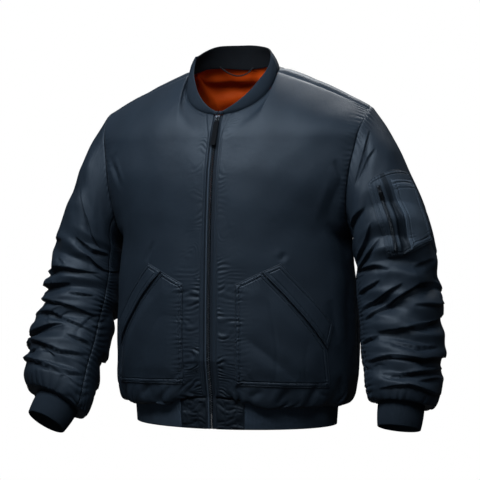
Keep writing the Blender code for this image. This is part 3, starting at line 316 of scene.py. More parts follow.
# Sleeves: centre of each section, how far it leans from facing sideways (0) to facing down
# (90), how far it nods forward, and its half sizes outward and forward. x is outward.
SLEEVE = {
    "left": (
        # along, x, y, z, lean, nod, out, fore
        (0, .2455, 0, -.21, 8, 0, .121, .071), (.06, .2655, 0, -.2395, 16, 0, .109, .078),
        (.13, .283, 0, -.284, 33, 0, .0915, .083), (.2, .3025, 0, -.335, 51, 2, .08, .084),
        (.27, .3135, -.003, -.395, 70, 5, .0755, .082),
        (.34, .3215, -.01, -.46, 82, 10, .0765, .079),
        (.41, .328, -.027, -.525, 88, 14, .0745, .075),
        (.47, .334, -.046, -.579, 91, 17, .071, .071),
        (.51, .336, -.059, -.613, 92, 17, .065, .064),
        (.528, .336, -.064, -.629, 92, 16, .056, .054),
        (.541, .3355, -.066, -.627, 92, 16, .0415, .0425),
    ),
    "right": (
        # along, x, y, z, lean, nod, out, fore
        (0, .244, 0, -.211, 8, 0, .119, .071), (.06, .264, 0, -.243, 15, 0, .106, .077),
        (.13, .279, 0, -.288, 31, 0, .083, .081), (.2, .295, 0, -.339, 48, 3, .0745, .082),
        (.27, .307, -.004, -.397, 68, 7, .071, .081), (.34, .318, -.015, -.46, 80, 14, .073, .079),
        (.41, .3265, -.038, -.525, 81, 21, .074, .076),
        (.47, .333, -.065, -.581, 77, 27, .072, .072),
        (.51, .333, -.085, -.619, 74, 31, .07, .066),
        (.528, .331, -.094, -.641, 71, 32, .061, .057),
        (.541, .328, -.097, -.643, 70, 32, .0425, .0425),
    ),
}


def armhole_rows(turn):
    """Heights up the panels' armhole edge: turn 0 at the shoulder tip, 180 under the arm."""
    step = np.where(turn <= 180, turn, 360 - turn) / ARM_STEP
    return np.interp(step, np.arange(len(ARM_ROWS)), ARM_ROWS[::-1])


def armhole(side, turn):
    """The armhole seam: turn 0 at the shoulder tip, 90 in front, 180 under the arm."""
    turn = np.asarray(turn, float) % 360
    along = armhole_rows(turn)
    ones = np.ones_like(along)
    return np.where((turn <= 180)[..., None], panel("front", side, ones, along),
                    panel("back", side, ones, along))


def sleeve_frame(side, along):
    """Centre, outward, forward and downstream directions and half sizes of a section."""
    x, y, z, lean, nod, out, fore = np.moveaxis(spline(SLEEVE[side], along), -1, 0)
    lean, nod = np.radians(lean), np.radians(nod)
    zero = np.zeros_like(lean)
    outward = np.stack([np.sin(lean), zero, np.cos(lean)], -1)
    flat = np.stack([np.cos(lean), zero, -np.sin(lean)], -1)
    front = np.stack([zero, zero - 1, zero], -1)
    cos_nod, sin_nod = np.cos(nod)[..., None], np.sin(nod)[..., None]
    forward = front * cos_nod - flat * sin_nod
    downstream = flat * cos_nod + front * sin_nod
    return np.stack([x, y, z], -1), outward, forward, downstream, out[..., None], fore[..., None]


def sleeve_section(side, along, turn):
    centre, outward, forward, _, out, fore = sleeve_frame(side, along)
    angle = np.radians(turn)[..., None]
    return centre + outward * out * np.cos(angle) + forward * fore * np.sin(angle)


print("sleeve sections:", len(SLEEVE["left"]), "on each side")

# %% [markdown]
# ## Main folds of the sleeves
# Where an arm bends, cloth folds across the sleeve, closest together inside the elbow. These folds
# are in the solids too.

# %% Sleeve folds
SLEEVE_PUFF = 0.002          # how far the cloth swells between folds
# Along, turn, reach round the arm, width along it, depth and slant.
SLEEVE_FOLDS = {
    "left": (
        (.15, 60, 60, .016, .006, -.055), (.205, 75, 60, .015, .007, -.05),
        (.262, 60, 75, .014, .008, -.03), (.306, 20, 70, .014, .0085, .022),
        (.34, 95, 60, .014, .0075, -.03), (.372, 25, 80, .013, .0085, .014),
        (.412, 70, 85, .013, .009, -.012), (.448, 10, 75, .012, .008, .012),
        (.476, 85, 70, .011, .007, -.006), (.23, 215, 60, .014, .006, .03),
        (.29, 250, 75, .015, .0075, .02), (.35, 230, 80, .014, .008, -.016),
        (.405, 270, 75, .013, .008, .014), (.455, 235, 85, .012, .0075, -.01),
        (.495, 300, 60, .01, .005, .004),
    ),
    "right": (
        (.12, 50, 50, .018, .004, -.06), (.18, 110, 50, .016, .0055, -.05),
        (.245, 75, 80, .014, .008, -.012), (.285, 25, 60, .013, .008, .016),
        (.318, 80, 85, .013, .0085, -.022), (.352, 10, 55, .012, .008, .024),
        (.385, 90, 80, .013, .0085, -.014), (.423, 60, 95, .012, .0095, -.018),
        (.462, 20, 60, .011, .007, .012), (.483, 100, 60, .01, .0065, -.008),
        (.235, 215, 60, .014, .006, .026), (.3, 255, 70, .015, .0075, -.018),
        (.355, 225, 75, .013, .008, .016), (.41, 275, 80, .013, .008, -.012),
        (.452, 230, 80, .012, .0075, .01), (.492, 290, 60, .01, .005, -.004),
    ),
}


def swing(turn, middle):
    """Degrees from a middle, the shorter way round."""
    return (turn - middle + 180) % 360 - 180


def sleeve(side, along, turn):
    """Outer surface of the sleeve with its creases, outward positive."""
    along, turn = np.broadcast_arrays(np.asarray(along, float), np.asarray(turn, float))
    along = np.clip(along, 0, SLEEVE_END)
    base = sleeve_section(side, along, turn)
    start = armhole(side, turn) + np.array([0.0005, 0, 0])
    fade = 1 - smooth(along, 0, ARMHOLE_FADE)
    base = base + (start - sleeve_section(side, np.zeros_like(along), turn)) * fade[..., None]
    lift = SLEEVE_PUFF * np.ones_like(along)
    for middle, centre, reach, width, depth, slant in SLEEVE_FOLDS[side]:
        away = swing(turn, centre)
        lift += crease(along - middle - slant * np.radians(away), away / reach, width, depth)
    lift *= smooth(along, 0.02, 0.09)
    lift *= 1 - smooth(along, SLEEVE_END - 0.04, SLEEVE_END - 0.012)
    _, outward, forward, _, _, _ = sleeve_frame(side, along)
    angle = np.radians(turn)[..., None]
    return base + (outward * np.cos(angle) + forward * np.sin(angle)) * lift[..., None]


def sleeve_normal(side, along, turn):
    """Outward normal of the sleeve, in the object's frame."""
    along = np.clip(along, 0.0004, SLEEVE_END - 0.0004)

    def surface(u, v):
        return place(sleeve(side, u, v), side)

    return surface_normal(surface, along, turn, 2e-4) * -SIGN[side]


print("sleeve folds:", sum(len(rows) for rows in SLEEVE_FOLDS.values()))

# %% [markdown]
# ## Where fine creases run
# Sewn nylon also has smaller, sharper creases, and they are what makes it look like cloth. Noise
# alone looks like crumpled paper, so each crease is drawn as a line across the flat piece, with its
# half width and depth. A cloth simulation would put them in other places on each change.

# %% Crease lines
ARM_MM = 0.00135               # metres round the sleeve for one degree of turn
# Creases of the sleeves as lines of (turn, along), with half width and depth.
SLEEVE_LINES = {
    "right": (
        (((-30, .292), (20, .298), (50, .284), (100, .268), (132, .25)), .01, .0062),
        (((-22, .318), (20, .323), (51, .319), (92, .306)), .008, .0075),
        (((-28, .346), (10, .352), (48, .354), (106, .36), (146, .366)), .009, .0062),
        (((20, .384), (66, .378), (112, .392), (146, .402)), .0075, .005),
        (((-18, .428), (20, .425), (56, .416), (96, .398)), .006, .0072),
        (((-24, .462), (30, .446), (62, .449), (102, .458), (146, .445)), .009, .0072),
        (((-4, .478), (54, .489), (90, .494), (123, .491), (150, .481)), .008, .008),
        (((70, .454), (96, .474)), .005, .004), (((92, .33), (132, .32)), .006, .0045),
        (((58, .262), (78, .268)), .0045, .003),
        (((62, .11), (98, .128), (128, .165)), .014, .005),
        (((84, .196), (118, .188), (146, .16)), .011, .006),
        (((112, .216), (146, .232)), .008, .0045), (((18, .24), (56, .226)), .009, .0035),
        (((104, .42), (146, .424)), .006, .0045), (((28, .47), (58, .464)), .0045, .003),
        (((200, .24), (250, .262), (300, .25)), .01, .006),
        (((250, .305), (320, .29)), .0085, .0055),
        (((180, .335), (225, .348), (275, .336)), .0085, .0065),
        (((255, .385), (330, .4)), .008, .006),
        (((175, .425), (215, .432), (272, .422)), .008, .006),
        (((240, .462), (322, .45)), .007, .0055),
        (((190, .48), (255, .486), (310, .478)), .007, .0055),
        (((190, .14), (240, .18)), .012, .005),
    ),
    "left": (
        (((40, .026), (70, .038), (104, .044)), .007, .0036),
        (((50, .062), (98, .05)), .006, .0028),
        (((96, .112), (122, .084), (152, .048)), .011, .005),
        (((94, .15), (118, .176), (148, .19)), .009, .0055),
        (((92, .196), (122, .216), (148, .232)), .008, .005),
        (((84, .27), (106, .248), (146, .226)), .008, .0055),
        (((70, .304), (100, .322), (140, .342)), .0085, .0065),
        (((-30, .318), (8, .306), (47, .308), (90, .34), (136, .368)), .0085, .007),
        (((58, .346), (20, .346), (-12, .338)), .006, .005),
        (((-34, .35), (-6, .358), (34, .378), (70, .391), (112, .396)), .0085, .0078),
        (((92, .418), (60, .427), (20, .418)), .006, .005),
        (((140, .458), (92, .447), (46, .447), (0, .432), (-30, .426)), .008, .0075),
        (((112, .48), (84, .482), (44, .47), (0, .452), (-26, .448)), .007, .007),
        (((56, .49), (12, .474)), .005, .004),
        (((118, .512), (68, .501), (22, .507), (-14, .5)), .006, .005),
        (((100, .286), (142, .3)), .007, .005), (((10, .27), (50, .276)), .008, .0035),
        (((112, .404), (148, .412)), .006, .0045),
        (((202, .23), (250, .252), (300, .24)), .01, .006),
        (((250, .292), (322, .304)), .0085, .0055),
        (((180, .345), (222, .334), (275, .348)), .0085, .0065),
        (((250, .396), (330, .386)), .008, .006),
        (((175, .42), (222, .436), (275, .446)), .008, .006),
        (((240, .47), (322, .462)), .007, .0055), (((190, .49), (250, .482)), .0065, .005),
        (((190, .15), (240, .175)), .012, .005),
    ),
}
# Creases of the body, (around, along) from the centre line and the hem seam.
BODY_LINES = {
    "front_right": (
        (((.386, .326), (.42, .29)), .0045, .0022),
        (((.82, .492), (.9, .478), (.965, .462)), .005, .0018),
        (((.354, .225), (.47, .15), (.601, .06)), .013, -.0044),
        (((.429, .04), (.352, .066)), .0055, .003), (((.3, .032), (.215, .056)), .005, .0026),
        (((.64, .03), (.585, .064)), .006, .003), (((.8, .036), (.75, .09)), .008, .003),
        (((.18, .225), (.09, .24)), .004, .0014), (((.93, .3), (.76, .352)), .012, .003),
    ),
    "front_left": (
        (((.175, .158), (.3, .122), (.451, .078)), .009, .0034),
        (((.401, .29), (.44, .306)), .0045, .002), (((.683, .22), (.735, .14)), .01, .0028),
        (((.36, .034), (.42, .062)), .0055, .0028), (((.53, .03), (.59, .072)), .006, .003),
        (((.215, .036), (.27, .058)), .0045, .0024), (((.82, .034), (.76, .08)), .008, .003),
        (((.94, .3), (.78, .36)), .012, .0032), (((.96, .44), (.85, .47)), .006, .0024),
    ),
    "back_left": (
        (((.95, .33), (.7, .36), (.45, .33)), .016, .004), (((.96, .42), (.74, .44)), .011, .003),
        (((.3, .03), (.35, .08)), .008, .0032), (((.56, .03), (.6, .09)), .008, .0034),
        (((.78, .03), (.76, .1)), .009, .0034), (((.12, .1), (.42, .15)), .018, .0036),
        (((.85, .21), (.55, .17)), .016, .0034),
    ),
    "back_right": (
        (((.95, .32), (.72, .35), (.48, .345)), .016, .004),
        (((.96, .43), (.7, .452)), .011, .003), (((.24, .03), (.26, .08)), .008, .0032),
        (((.48, .03), (.54, .086)), .008, .0034), (((.72, .03), (.7, .095)), .009, .0034),
        (((.2, .22), (.52, .25)), .018, .0034), (((.86, .17), (.6, .12)), .016, .0034),
    ),
}
print("creases:", sum(len(v) for v in SLEEVE_LINES.values()), "on the sleeves,",
      sum(len(v) for v in BODY_LINES.values()), "on the body")

# %% [markdown]
# ## How cloth is creased
# Four shapes do it: a crease that bags over on its lower side, a soft fold, short pinches that
# wander, and gathers that leave a seam at right angles. Each is a height above the plain surface,
# so they add up, and a pocket laid on top takes the same ones.

# %% Crease shapes
def wander(places, size, seed):
    """A smooth uneven value, about -1 to 1, that changes over about `size`."""
    source = np.random.default_rng(seed)
    total = 0
    for _ in range(7):
        way = source.normal(size=len(places))
        way *= 2 * math.pi / (size * source.uniform(0.8, 1.9) * np.linalg.norm(way))
        total = total + np.sin(sum(w * p for w, p in zip(way, places)) + source.uniform(0, 6.3))
    return total / 3


def along_line(x, y, line):
    """Distance from a line of points, how far along it, and the height beyond it."""
    line = np.array(line, float)
    steps = np.linalg.norm(np.diff(line, axis=0), axis=1)
    nearest = np.full(x.shape, 9.0)
    share, beyond = np.zeros(x.shape), np.zeros(x.shape)
    for (x0, y0), (x1, y1), step, before in zip(line, line[1:], steps, np.cumsum(steps) - steps):
        t = ((x - x0) * (x1 - x0) + (y - y0) * (y1 - y0)) / step ** 2
        held = np.clip(t, 0, 1)
        away = np.hypot(x - x0 - held * (x1 - x0), y - y0 - held * (y1 - y0))
        closer = away < nearest
        nearest = np.where(closer, away, nearest)
        share = np.where(closer, (before + held * step) / steps.sum(), share)
        beyond = np.where(closer, y - y0 - held * (y1 - y0), beyond)
    return nearest, np.sin(math.pi * share) ** 0.7, beyond


def soft_fold(x, y, line, width, depth):
    """A soft trough, or a ridge where depth is negative, that fades towards both ends."""
    nearest, fade, _ = along_line(x, y, line)
    q = nearest / width
    return -depth * fade * (np.exp(-q ** 1.5) - 0.3 * bell(q, 2.2, 1.2))


def line_crease(x, y, line, width, depth):
    """A crease along a line: cloth bags over it on one side and recovers slowly on the other."""
    nearest, fade, beyond = along_line(x, y, line)
    below = smooth(beyond, -0.0016, 0.0016)
    bag = 0.55 * (1 - below) * np.exp(-nearest / (1.6 * width))
    hollow = below * np.exp(-(nearest / (1.5 * width)) ** 1.2)
    return depth * fade * (bag - hollow)


def pinches(places, size, width, depth, seed):
    """Sharp little creases that wander where a slow unevenness passes through nought."""
    line = wander(places, size, seed)
    strength = np.clip(0.55 + 0.75 * wander(places, size * 1.7, seed + 1), 0, 1.3)
    return -depth * strength * (np.exp(-(np.abs(line) / width) ** 1.3) - 0.3)


def gathers(away, waves, depth, reach):
    """Ridges that leave a seam at right angles, highest just beside it."""
    near = np.clip(away, 0, None) / reach
    ridge = np.sin(2 * math.pi * waves) + 0.25 * np.cos(4 * math.pi * waves)
    return depth * ridge * np.exp(-near ** 1.4) * smooth(away, 0.0, 0.004)


def bell(value, middle, width):
    return np.exp(-((value - middle) / width) ** 2)


def edge_roll(away):
    """How a seam draws the cloth in beside it."""
    return -0.0011 * np.exp(-(np.clip(away, 0, None) / 0.0028) ** 1.6)


def small_creases(count, seed):
    """Short creases between the main ones, closer together towards the cuff."""
    source = np.random.default_rng(seed)
    made = []
    for _ in range(count):
        middle, along = source.uniform(0, 360), 0.2 + 0.31 * source.uniform() ** 0.7
        reach, tilt = source.uniform(0.012, 0.03), math.radians(source.normal(0, 22))
        ends = [(s * reach * math.cos(tilt), along + s * reach * math.sin(tilt)) for s in (-1, 1)]
        bend = (0, along + source.normal(0, 0.004))
        made.append((middle, (ends[0], bend, ends[1]), source.uniform(0.003, 0.0052),
                     source.uniform(0.0012, 0.0026)))
    return made


SMALL_CREASES = {"left": small_creases(26, 5), "right": small_creases(26, 8)}
print("short creases:", {side: len(made) for side, made in SMALL_CREASES.items()})

# %% [markdown]
# ## The body's finished surface
# The zip's tapes are shorter than the cloth sewn to them, so the cloth ruffles beside them. The
# knit band draws the hem into deep gathers, and the armhole and shoulder seams pucker finely.

# %% Finished body
ZIP_EDGE = 0.009             # the fronts start here, beside the tape
RUFFLE = 0.0098               # from one ruffle to the next, beside the zip
HEM_GATHER = 0.03
POCKET_SEAM, POCKET_PUCKER = 0.0425, 0.0088     # a pocket's inner edge is sewn down this far round
ARMHOLE_PUCKER, SIDE_PUCKER, SHOULDER_PUCKER = 0.0088, 0.012, 0.008


def body_lift(half, side, around, along):
    """Height of the finished cloth over the plain panel."""
    u = around * QUARTER_GIRTH
    signed = u * SIGN[side]
    seed = 10 if half == "front" else 40
    places = (signed, along)
    edge = (1 - around) * QUARTER_GIRTH * np.interp(along, (0.33, 0.5), (1, 0.8))
    top = TOP - along
    drift = 0.45 * wander(places, 0.06, seed)
    uneven = 0.75 + 0.35 * wander(places, 0.03, seed + 1)
    lift = 0.001 * wander(places, 0.13, seed + 2) + 0.0004 * wander(places, 0.05, seed + 3)
    slack = 1 - smooth(along, 0.1, 0.34)
    lift += slack * pinches((signed, along * 0.5), 0.075, 0.16, 0.001, seed + 4)
    neck = smooth(around, NECK_SHARE + 0.01, NECK_SHARE - 0.02)
    lift -= 0.0016 * neck * bell(top, 0.0046, 0.0011)
    for line, width, depth in BODY_LINES[half + "_" + side]:
        line = [(a * QUARTER_GIRTH, b) for a, b in line]
        lift += soft_fold(u, along, line, width, depth)
    low = 0.5 + 0.5 * smooth(along, 0.42, 0.2)
    ruffle = 1.0
    if half == "front":
        beside = u - ZIP_EDGE
        lift *= smooth(around, 0.05, 0.14)
        zipped = 0.0003 + 0.0012 * (1 - smooth(along, 0.16, 0.4))
        slanted = (along + 0.7 * beside * wander(places, 0.05, seed + 6)) / RUFFLE
        patchy = np.clip(0.75 + 0.9 * wander(places, 0.035, seed + 8), 0.15, 1.9)
        lift += patchy * gathers(beside - 0.0045, slanted + 1.8 * drift, zipped, 0.024)
        patch = smooth(along, 0.05, 0.07) * smooth(along, 0.29, 0.262)
        waves = along / POCKET_PUCKER + 1.3 * drift
        puckers = gathers(np.abs(u - POCKET_SEAM), waves, 0.001, 0.012)
        lift += patch * uneven * puckers
        # A cord of turned-in cloth along the zip, and the stitched furrow beside it.
        lift += 0.001 * bell(beside, 0.0024, 0.0016)
        lift -= 0.0006 * bell(beside, 0.0062, 0.0012)
        ruffle = smooth(around, 0.03, 0.16)
    bunched = 0.6 + 0.8 * np.clip(wander(places, 0.05, seed + 7), -0.6, 1)
    lift += bunched * ruffle * gathers(along, signed / HEM_GATHER + 1.6 * drift, 0.0046, 0.03)
    arm = smooth(along, 0.33, 0.35)
    lift += uneven * arm * gathers(edge, along / ARMHOLE_PUCKER + drift, 0.00075, 0.014)
    lift += uneven * (1 - arm) * low * gathers(edge, along / SIDE_PUCKER + drift, 0.0005, 0.011)
    lift += uneven * gathers(top, signed / SHOULDER_PUCKER + drift, 0.00045, 0.01)
    lift *= smooth(edge, 0, 0.005) * smooth(top, 0, 0.005) * smooth(along, 0, 0.004)
    return lift + edge_roll(edge) + 1.5 * edge_roll(top) + edge_roll(along)


def dressed_panel(half, side, around, along, extra=0.0):
    """The finished body surface in the object's frame, with its plain normals."""
    points = place(panel(half, side, around, along), side)
    normals = panel_normal(half, side, around, along)
    lift = body_lift(half, side, around, along) + extra
    return points + normals * np.asarray(lift)[..., None], normals


print("gathers every", HEM_GATHER * 1000, "mm at the hem and", RUFFLE * 1000, "mm beside the zip")

# %% [markdown]
# ## The sleeves' finished surface
# The same shapes round an arm: short gathers at the armhole, deep ones where the knit cuff draws
# the end in, and ruching on both sides of the front seam below the elbow. The zipped pocket on the
# left sleeve stiffens the cloth under it.

# %% Finished sleeves
ARMHOLE_GATHERS, CUFF_GATHERS = 52, 19       # round the whole sleeve
SEAM_RUCHING = 0.0105


def sleeve_lift(side, along, turn):
    """Height of the finished sleeve over its plain surface."""
    angle = np.radians(turn)
    places = (0.078 * np.cos(angle), 0.078 * np.sin(angle), along)
    seed = 70 if side == "left" else 90
    uneven = 0.75 + 0.35 * wander(places, 0.03, seed)
    drift = 0.5 * wander(places, 0.06, seed + 1)
    calm = smooth(along, 0.02, 0.1)
    swell = 0.0014 * wander(places, 0.085, seed + 2) + 0.0006 * wander(places, 0.034, seed + 3)
    round_arm = (places[0] * 0.45, places[1] * 0.45, along)
    crumpled = 0.15 + 0.85 * smooth(along, 0.14, 0.3)
    lift = calm * swell + calm * crumpled * pinches(round_arm, 0.062, 0.22, 0.0012, seed + 4)
    for line, width, depth in SLEEVE_LINES[side]:
        middle = np.mean([t for t, _ in line])
        near = swing(turn, middle) + middle
        line = [(t * ARM_MM, a) for t, a in line]
        lift += line_crease(near * ARM_MM, along, line, width * 1.1, depth * 1.4)
    for middle, line, width, depth in SMALL_CREASES[side]:
        lift += line_crease(swing(turn, middle) * ARM_MM, along, line, width, depth)
    if side == "left":
        pocket = smooth(turn, 6, 15) * smooth(turn, 91, 80)
        lift *= 1 - 0.8 * pocket * smooth(along, 0.09, 0.115) * smooth(along, 0.264, 0.238)
    lift += uneven * gathers(along, turn / 360 * ARMHOLE_GATHERS + drift, 0.0008, 0.016)
    lift += uneven * gathers(SLEEVE_END - 0.01 - along, turn / 360 * CUFF_GATHERS + 1.8 * drift,
                             0.0014, 0.018)
    if side == "left":      # a hollow between the sleeve pocket's zip and its pen patch
        hollow = (turn - 58.0) / (2.4 + 2.8 * smooth(along, 0.16, 0.24))
        hollow = np.exp(-hollow ** 4) * smooth(along, 0.138, 0.18) * smooth(along, 0.252, 0.24)
        lift -= 0.0062 * hollow
    for seam, depth in ((FRONT_SLEEVE_SEAM, 0.002), (BACK_SLEEVE_SEAM, 0.0009)):
        away = np.abs(swing(turn, seam)) * ARM_MM
        gathered = depth * (0.35 + 0.65 * smooth(along, 0.24, 0.36))
        lift += uneven * gathers(away, along / SEAM_RUCHING + drift, gathered, 0.018)
        lift += 1.6 * edge_roll(away)
    lift *= smooth(along, 0, 0.005) * smooth(SLEEVE_END - along, 0, 0.006)
    return lift + edge_roll(along)


def dressed_sleeve(side, along, turn, extra=0.0):
    points = place(sleeve(side, along, turn), side)
    normals = sleeve_normal(side, along, turn)
    lift = sleeve_lift(side, along, turn) + extra
    return points + normals * np.asarray(lift)[..., None], normals


print("gathers round a sleeve:", ARMHOLE_GATHERS, "at the armhole,", CUFF_GATHERS, "at the cuff")

# %% [markdown]
# ## Node helpers
# Colour, roughness and height come from nodes that read the cloth's own coordinates in metres, so
# the weave is the right size wherever a piece is. Image textures would repeat and would not scale.
# These helpers each add one kind of node, so a material reads as a short recipe.

# %% Node helpers
def node(tree, kind, **values):
    """Add a node; values set its properties or, failing that, its sockets."""
    made = tree.nodes.new(kind)
    for name, value in values.items():
        if hasattr(made, name):
            setattr(made, name, value)
        else:
            made.inputs[name.replace("_", " ")].default_value = value
    return made


def cloth_coordinates(tree, turn=0.0, source="UV"):
    """Places on the cloth in metres, turned by some degrees."""
    given = node(tree, "ShaderNodeTexCoord")
    mapping = node(tree, "ShaderNodeMapping", Rotation=(0, 0, math.radians(turn)))
    tree.links.new(given.outputs[source], mapping.inputs["Vector"])
    return mapping.outputs["Vector"]


def mix_colours(tree, factor, first, second):
    mix = node(tree, "ShaderNodeMix", data_type="RGBA")
    for socket, source in ((0, factor), (6, first), (7, second)):
        tree.links.new(source, mix.inputs[socket])
    return mix.outputs[2]


def ranged(tree, value, low, high, from_low=0.0, from_high=1.0):
    fitted = node(tree, "ShaderNodeMapRange", From_Min=from_low, From_Max=from_high, To_Min=low,
                  To_Max=high)
    tree.links.new(value, fitted.inputs["Value"])
    return fitted.outputs["Result"]


def noise(tree, where, size, detail=3.0):
    """Noise with bumps about `size` metres apart."""
    made = node(tree, "ShaderNodeTexNoise", Scale=1 / size, Detail=detail)
    tree.links.new(where, made.inputs["Vector"])
    return made.outputs["Fac"]


def combine(tree, operation, first, second):
    made = node(tree, "ShaderNodeMath", operation=operation)
    for socket, value in zip(made.inputs, (first, second)):
        if isinstance(value, (int, float)):
            socket.default_value = value
        else:
            tree.links.new(value, socket)
    return made.outputs["Value"]


def total(tree, *parts):
    """The sum of some sources, each with its weight."""
    shares = [combine(tree, "MULTIPLY", source, weight) for source, weight in parts]
    summed = shares[0]
    for share in shares[1:]:
        summed = combine(tree, "ADD", summed, share)
    return summed


def stripes(tree, where, spacing, along="X", warp=0.0):
    """Sine ridges `spacing` metres apart; the wave texture repeats 20 times in 2 pi."""
    made = node(tree, "ShaderNodeTexWave", bands_direction=along, Distortion=warp, Detail=1.0)
    tree.links.new(combine(tree, "DIVIDE", 0.314159, spacing), made.inputs["Scale"])
    tree.links.new(where, made.inputs["Vector"])
    return made.outputs["Fac"]


def raise_surface(tree, heights, distance, strength=1.0, under=None):
    bump = node(tree, "ShaderNodeBump", Strength=strength, Distance=distance)
    tree.links.new(heights, bump.inputs["Height"])
    if under is not None:
        tree.links.new(under, bump.inputs["Normal"])
    return bump.outputs["Normal"]


print("node helpers ready")

# %% [markdown]
# ## One group for each cloth
# A node group is a recipe with named inputs, built once and placed in each material with that
# cloth's own values. It gives out only what changes over the surface: colour, roughness and normal.
# Whatever is the same all over, such as the specular level, is set on the shader itself.

# %% Group and material frames
def start_group(name, numbers):
    """A node group with numbers and two shades in, and colour, roughness and normal out."""
    tree = bpy.data.node_groups.new(name, "ShaderNodeTree")
    for labels, way, kind in ((numbers, "INPUT", "Float"), (("Dark", "Light"), "INPUT", "Color"),
                              (("Colour",), "OUTPUT", "Color"), (("Roughness",), "OUTPUT", "Float"),
                              (("Normal",), "OUTPUT", "Vector")):
        for label in labels:
            tree.interface.new_socket(label, in_out=way, socket_type="NodeSocket" + kind)
    return tree, tree.nodes.new("NodeGroupInput").outputs, tree.nodes.new("NodeGroupOutput").inputs


def close_group(tree, given, results, shade, rough, normal):
    """Link the outputs; shade 0 is the dark colour and 1 the light one."""
    colour = mix_colours(tree, shade, given["Dark"], given["Light"])
    for label, source in (("Colour", colour), ("Roughness", rough), ("Normal", normal)):
        tree.links.new(source, results[label])
    return tree


def finished_material(name, group, numbers, dark, light, **fixed):
    """A shader fed by one placed copy of a group, with this cloth's own values."""
    made = bpy.data.materials.new(name)
    made.use_nodes = True
    tree = made.node_tree
    shader = tree.nodes["Principled BSDF"]
    for socket, value in fixed.items():
        shader.inputs[socket.replace("_", " ")].default_value = value
    placed = node(tree, "ShaderNodeGroup", node_tree=group)
    for label, value in {**numbers, "Dark": (*dark, 1), "Light": (*light, 1)}.items():
        placed.inputs[label].default_value = value
    for label, socket in (("Colour", "Base Color"), ("Roughness", "Roughness"),
                          ("Normal", "Normal")):
        tree.links.new(placed.outputs[label], shader.inputs[socket])
    return made


print("group and material frames ready")

# %% [markdown]
# ## Satin and rib knit
# Satin's long floats lie side by side, so it gleams across them and its colour clouds over where it
# has been rubbed. Rib knit is matt: columns of small loops with fuzz, with painted shade that
# darkens the furrows.

# %% Satin and knit
def satin_group():
    """Satin: fine slanted floats, soft crumple, and slow changes of shade."""
    tree, given, results = start_group("satin_weave", ("Weave", "Gloss"))
    plain = cloth_coordinates(tree)
    floats = stripes(tree, cloth_coordinates(tree, turn=63), given["Weave"], warp=0.6)
    threads = stripes(tree, plain, combine(tree, "MULTIPLY", given["Weave"], 1.3), "Y", warp=0.4)
    weave = total(tree, (floats, 1.0), (threads, 0.5))
    cloudy = noise(tree, plain, 0.07, 2.0)
    shade = total(tree, (weave, 0.16), (cloudy, 0.8))
    wear = total(tree, (cloudy, 0.7), (noise(tree, plain, 0.0016, 2.0), 0.3))
    rough = combine(tree, "ADD", given["Gloss"], ranged(tree, wear, 0.06, -0.06, 0.25, 0.75))
    soft = raise_surface(tree, noise(tree, plain, 0.014, 3.0), 0.0008, 0.4)
    fine = raise_surface(tree, weave, 0.00005, 0.5, under=soft)
    return close_group(tree, given, results, shade, rough, fine)


def knit_group():
    """Rib knit: columns of small loops, fuzzy, with painted shade darker down in the furrows."""
    tree, given, results = start_group("rib_knit", ("Rib",))
    plain = cloth_coordinates(tree)
    columns = stripes(tree, plain, given["Rib"])
    small = combine(tree, "MULTIPLY", given["Rib"], 0.42)
    loops, other = (stripes(tree, cloth_coordinates(tree, turn=slant), small, "Y", warp=1.0)
                    for slant in (28, -28))
    yarn = combine(tree, "MAXIMUM", loops, other)
    fuzz = noise(tree, plain, 0.0009, 4.0)
    cloudy = noise(tree, plain, 0.03, 2.0)
    # The rib columns and loops darken the colour in the furrows: painted shade.
    shade = total(tree, (columns, 0.35), (yarn, 0.25), (cloudy, 0.45))
    bump = raise_surface(tree, total(tree, (yarn, 1.0), (fuzz, 0.7)), 0.00022, 0.8)
    return close_group(tree, given, results, shade, ranged(tree, fuzz, 0.92, 0.74, 0.2, 0.8), bump)


SATIN, RIB = satin_group(), knit_group()
print("groups:", SATIN.name, len(SATIN.nodes), "nodes,", RIB.name, len(RIB.nodes), "nodes")

# %% [markdown]
# ## Woven bands and blackened metal
# Zip tape, ribbon and thread are narrow weaves of two slanted ribs that meet. The pulls move, so
# their ribbon reads the object's own coordinates. The metal is blackened and rubbed brighter in
# spots.

# %% Bands and metal
def herringbone_group(name="herringbone", source="UV"):
    """Narrow woven band: two slanted ribs that meet."""
    tree, given, results = start_group(name, ("Rib", "Gloss"))
    first, second = (stripes(tree, cloth_coordinates(tree, slant, source), given["Rib"], "Y", 0.5)
                     for slant in (40, -40))
    ribs = combine(tree, "MAXIMUM", first, second)
    fuzz = noise(tree, cloth_coordinates(tree, 0, source), 0.0006, 3.0)
    rough = combine(tree, "ADD", given["Gloss"], ranged(tree, fuzz, 0.1, -0.1, 0.2, 0.8))
    return close_group(tree, given, results, total(tree, (ribs, 0.65), (fuzz, 0.35)), rough,
                       raise_surface(tree, ribs, 0.00018, 0.8))


def metal_group():
    """Blackened metal, rubbed brighter in spots."""
    tree, given, results = start_group("rubbed_metal", ("Gloss",))
    source = node(tree, "ShaderNodeTexCoord").outputs["Object"]
    rubbed = ranged(tree, noise(tree, source, 0.003, 4.0), 0, 1, 0.35, 0.7)
    scratched = noise(tree, source, 0.0005, 2.0)
    rough = combine(tree, "ADD", given["Gloss"], ranged(tree, scratched, -0.08, 0.12, 0.3, 0.7))
    return close_group(tree, given, results, rubbed, rough,
                       raise_surface(tree, scratched, 0.00004, 0.4))


HERRINGBONE, METAL = herringbone_group(), metal_group()
RIBBON = herringbone_group("ribbon_weave", "Object")
print("groups:", ", ".join(group.name for group in (HERRINGBONE, METAL, RIBBON)))

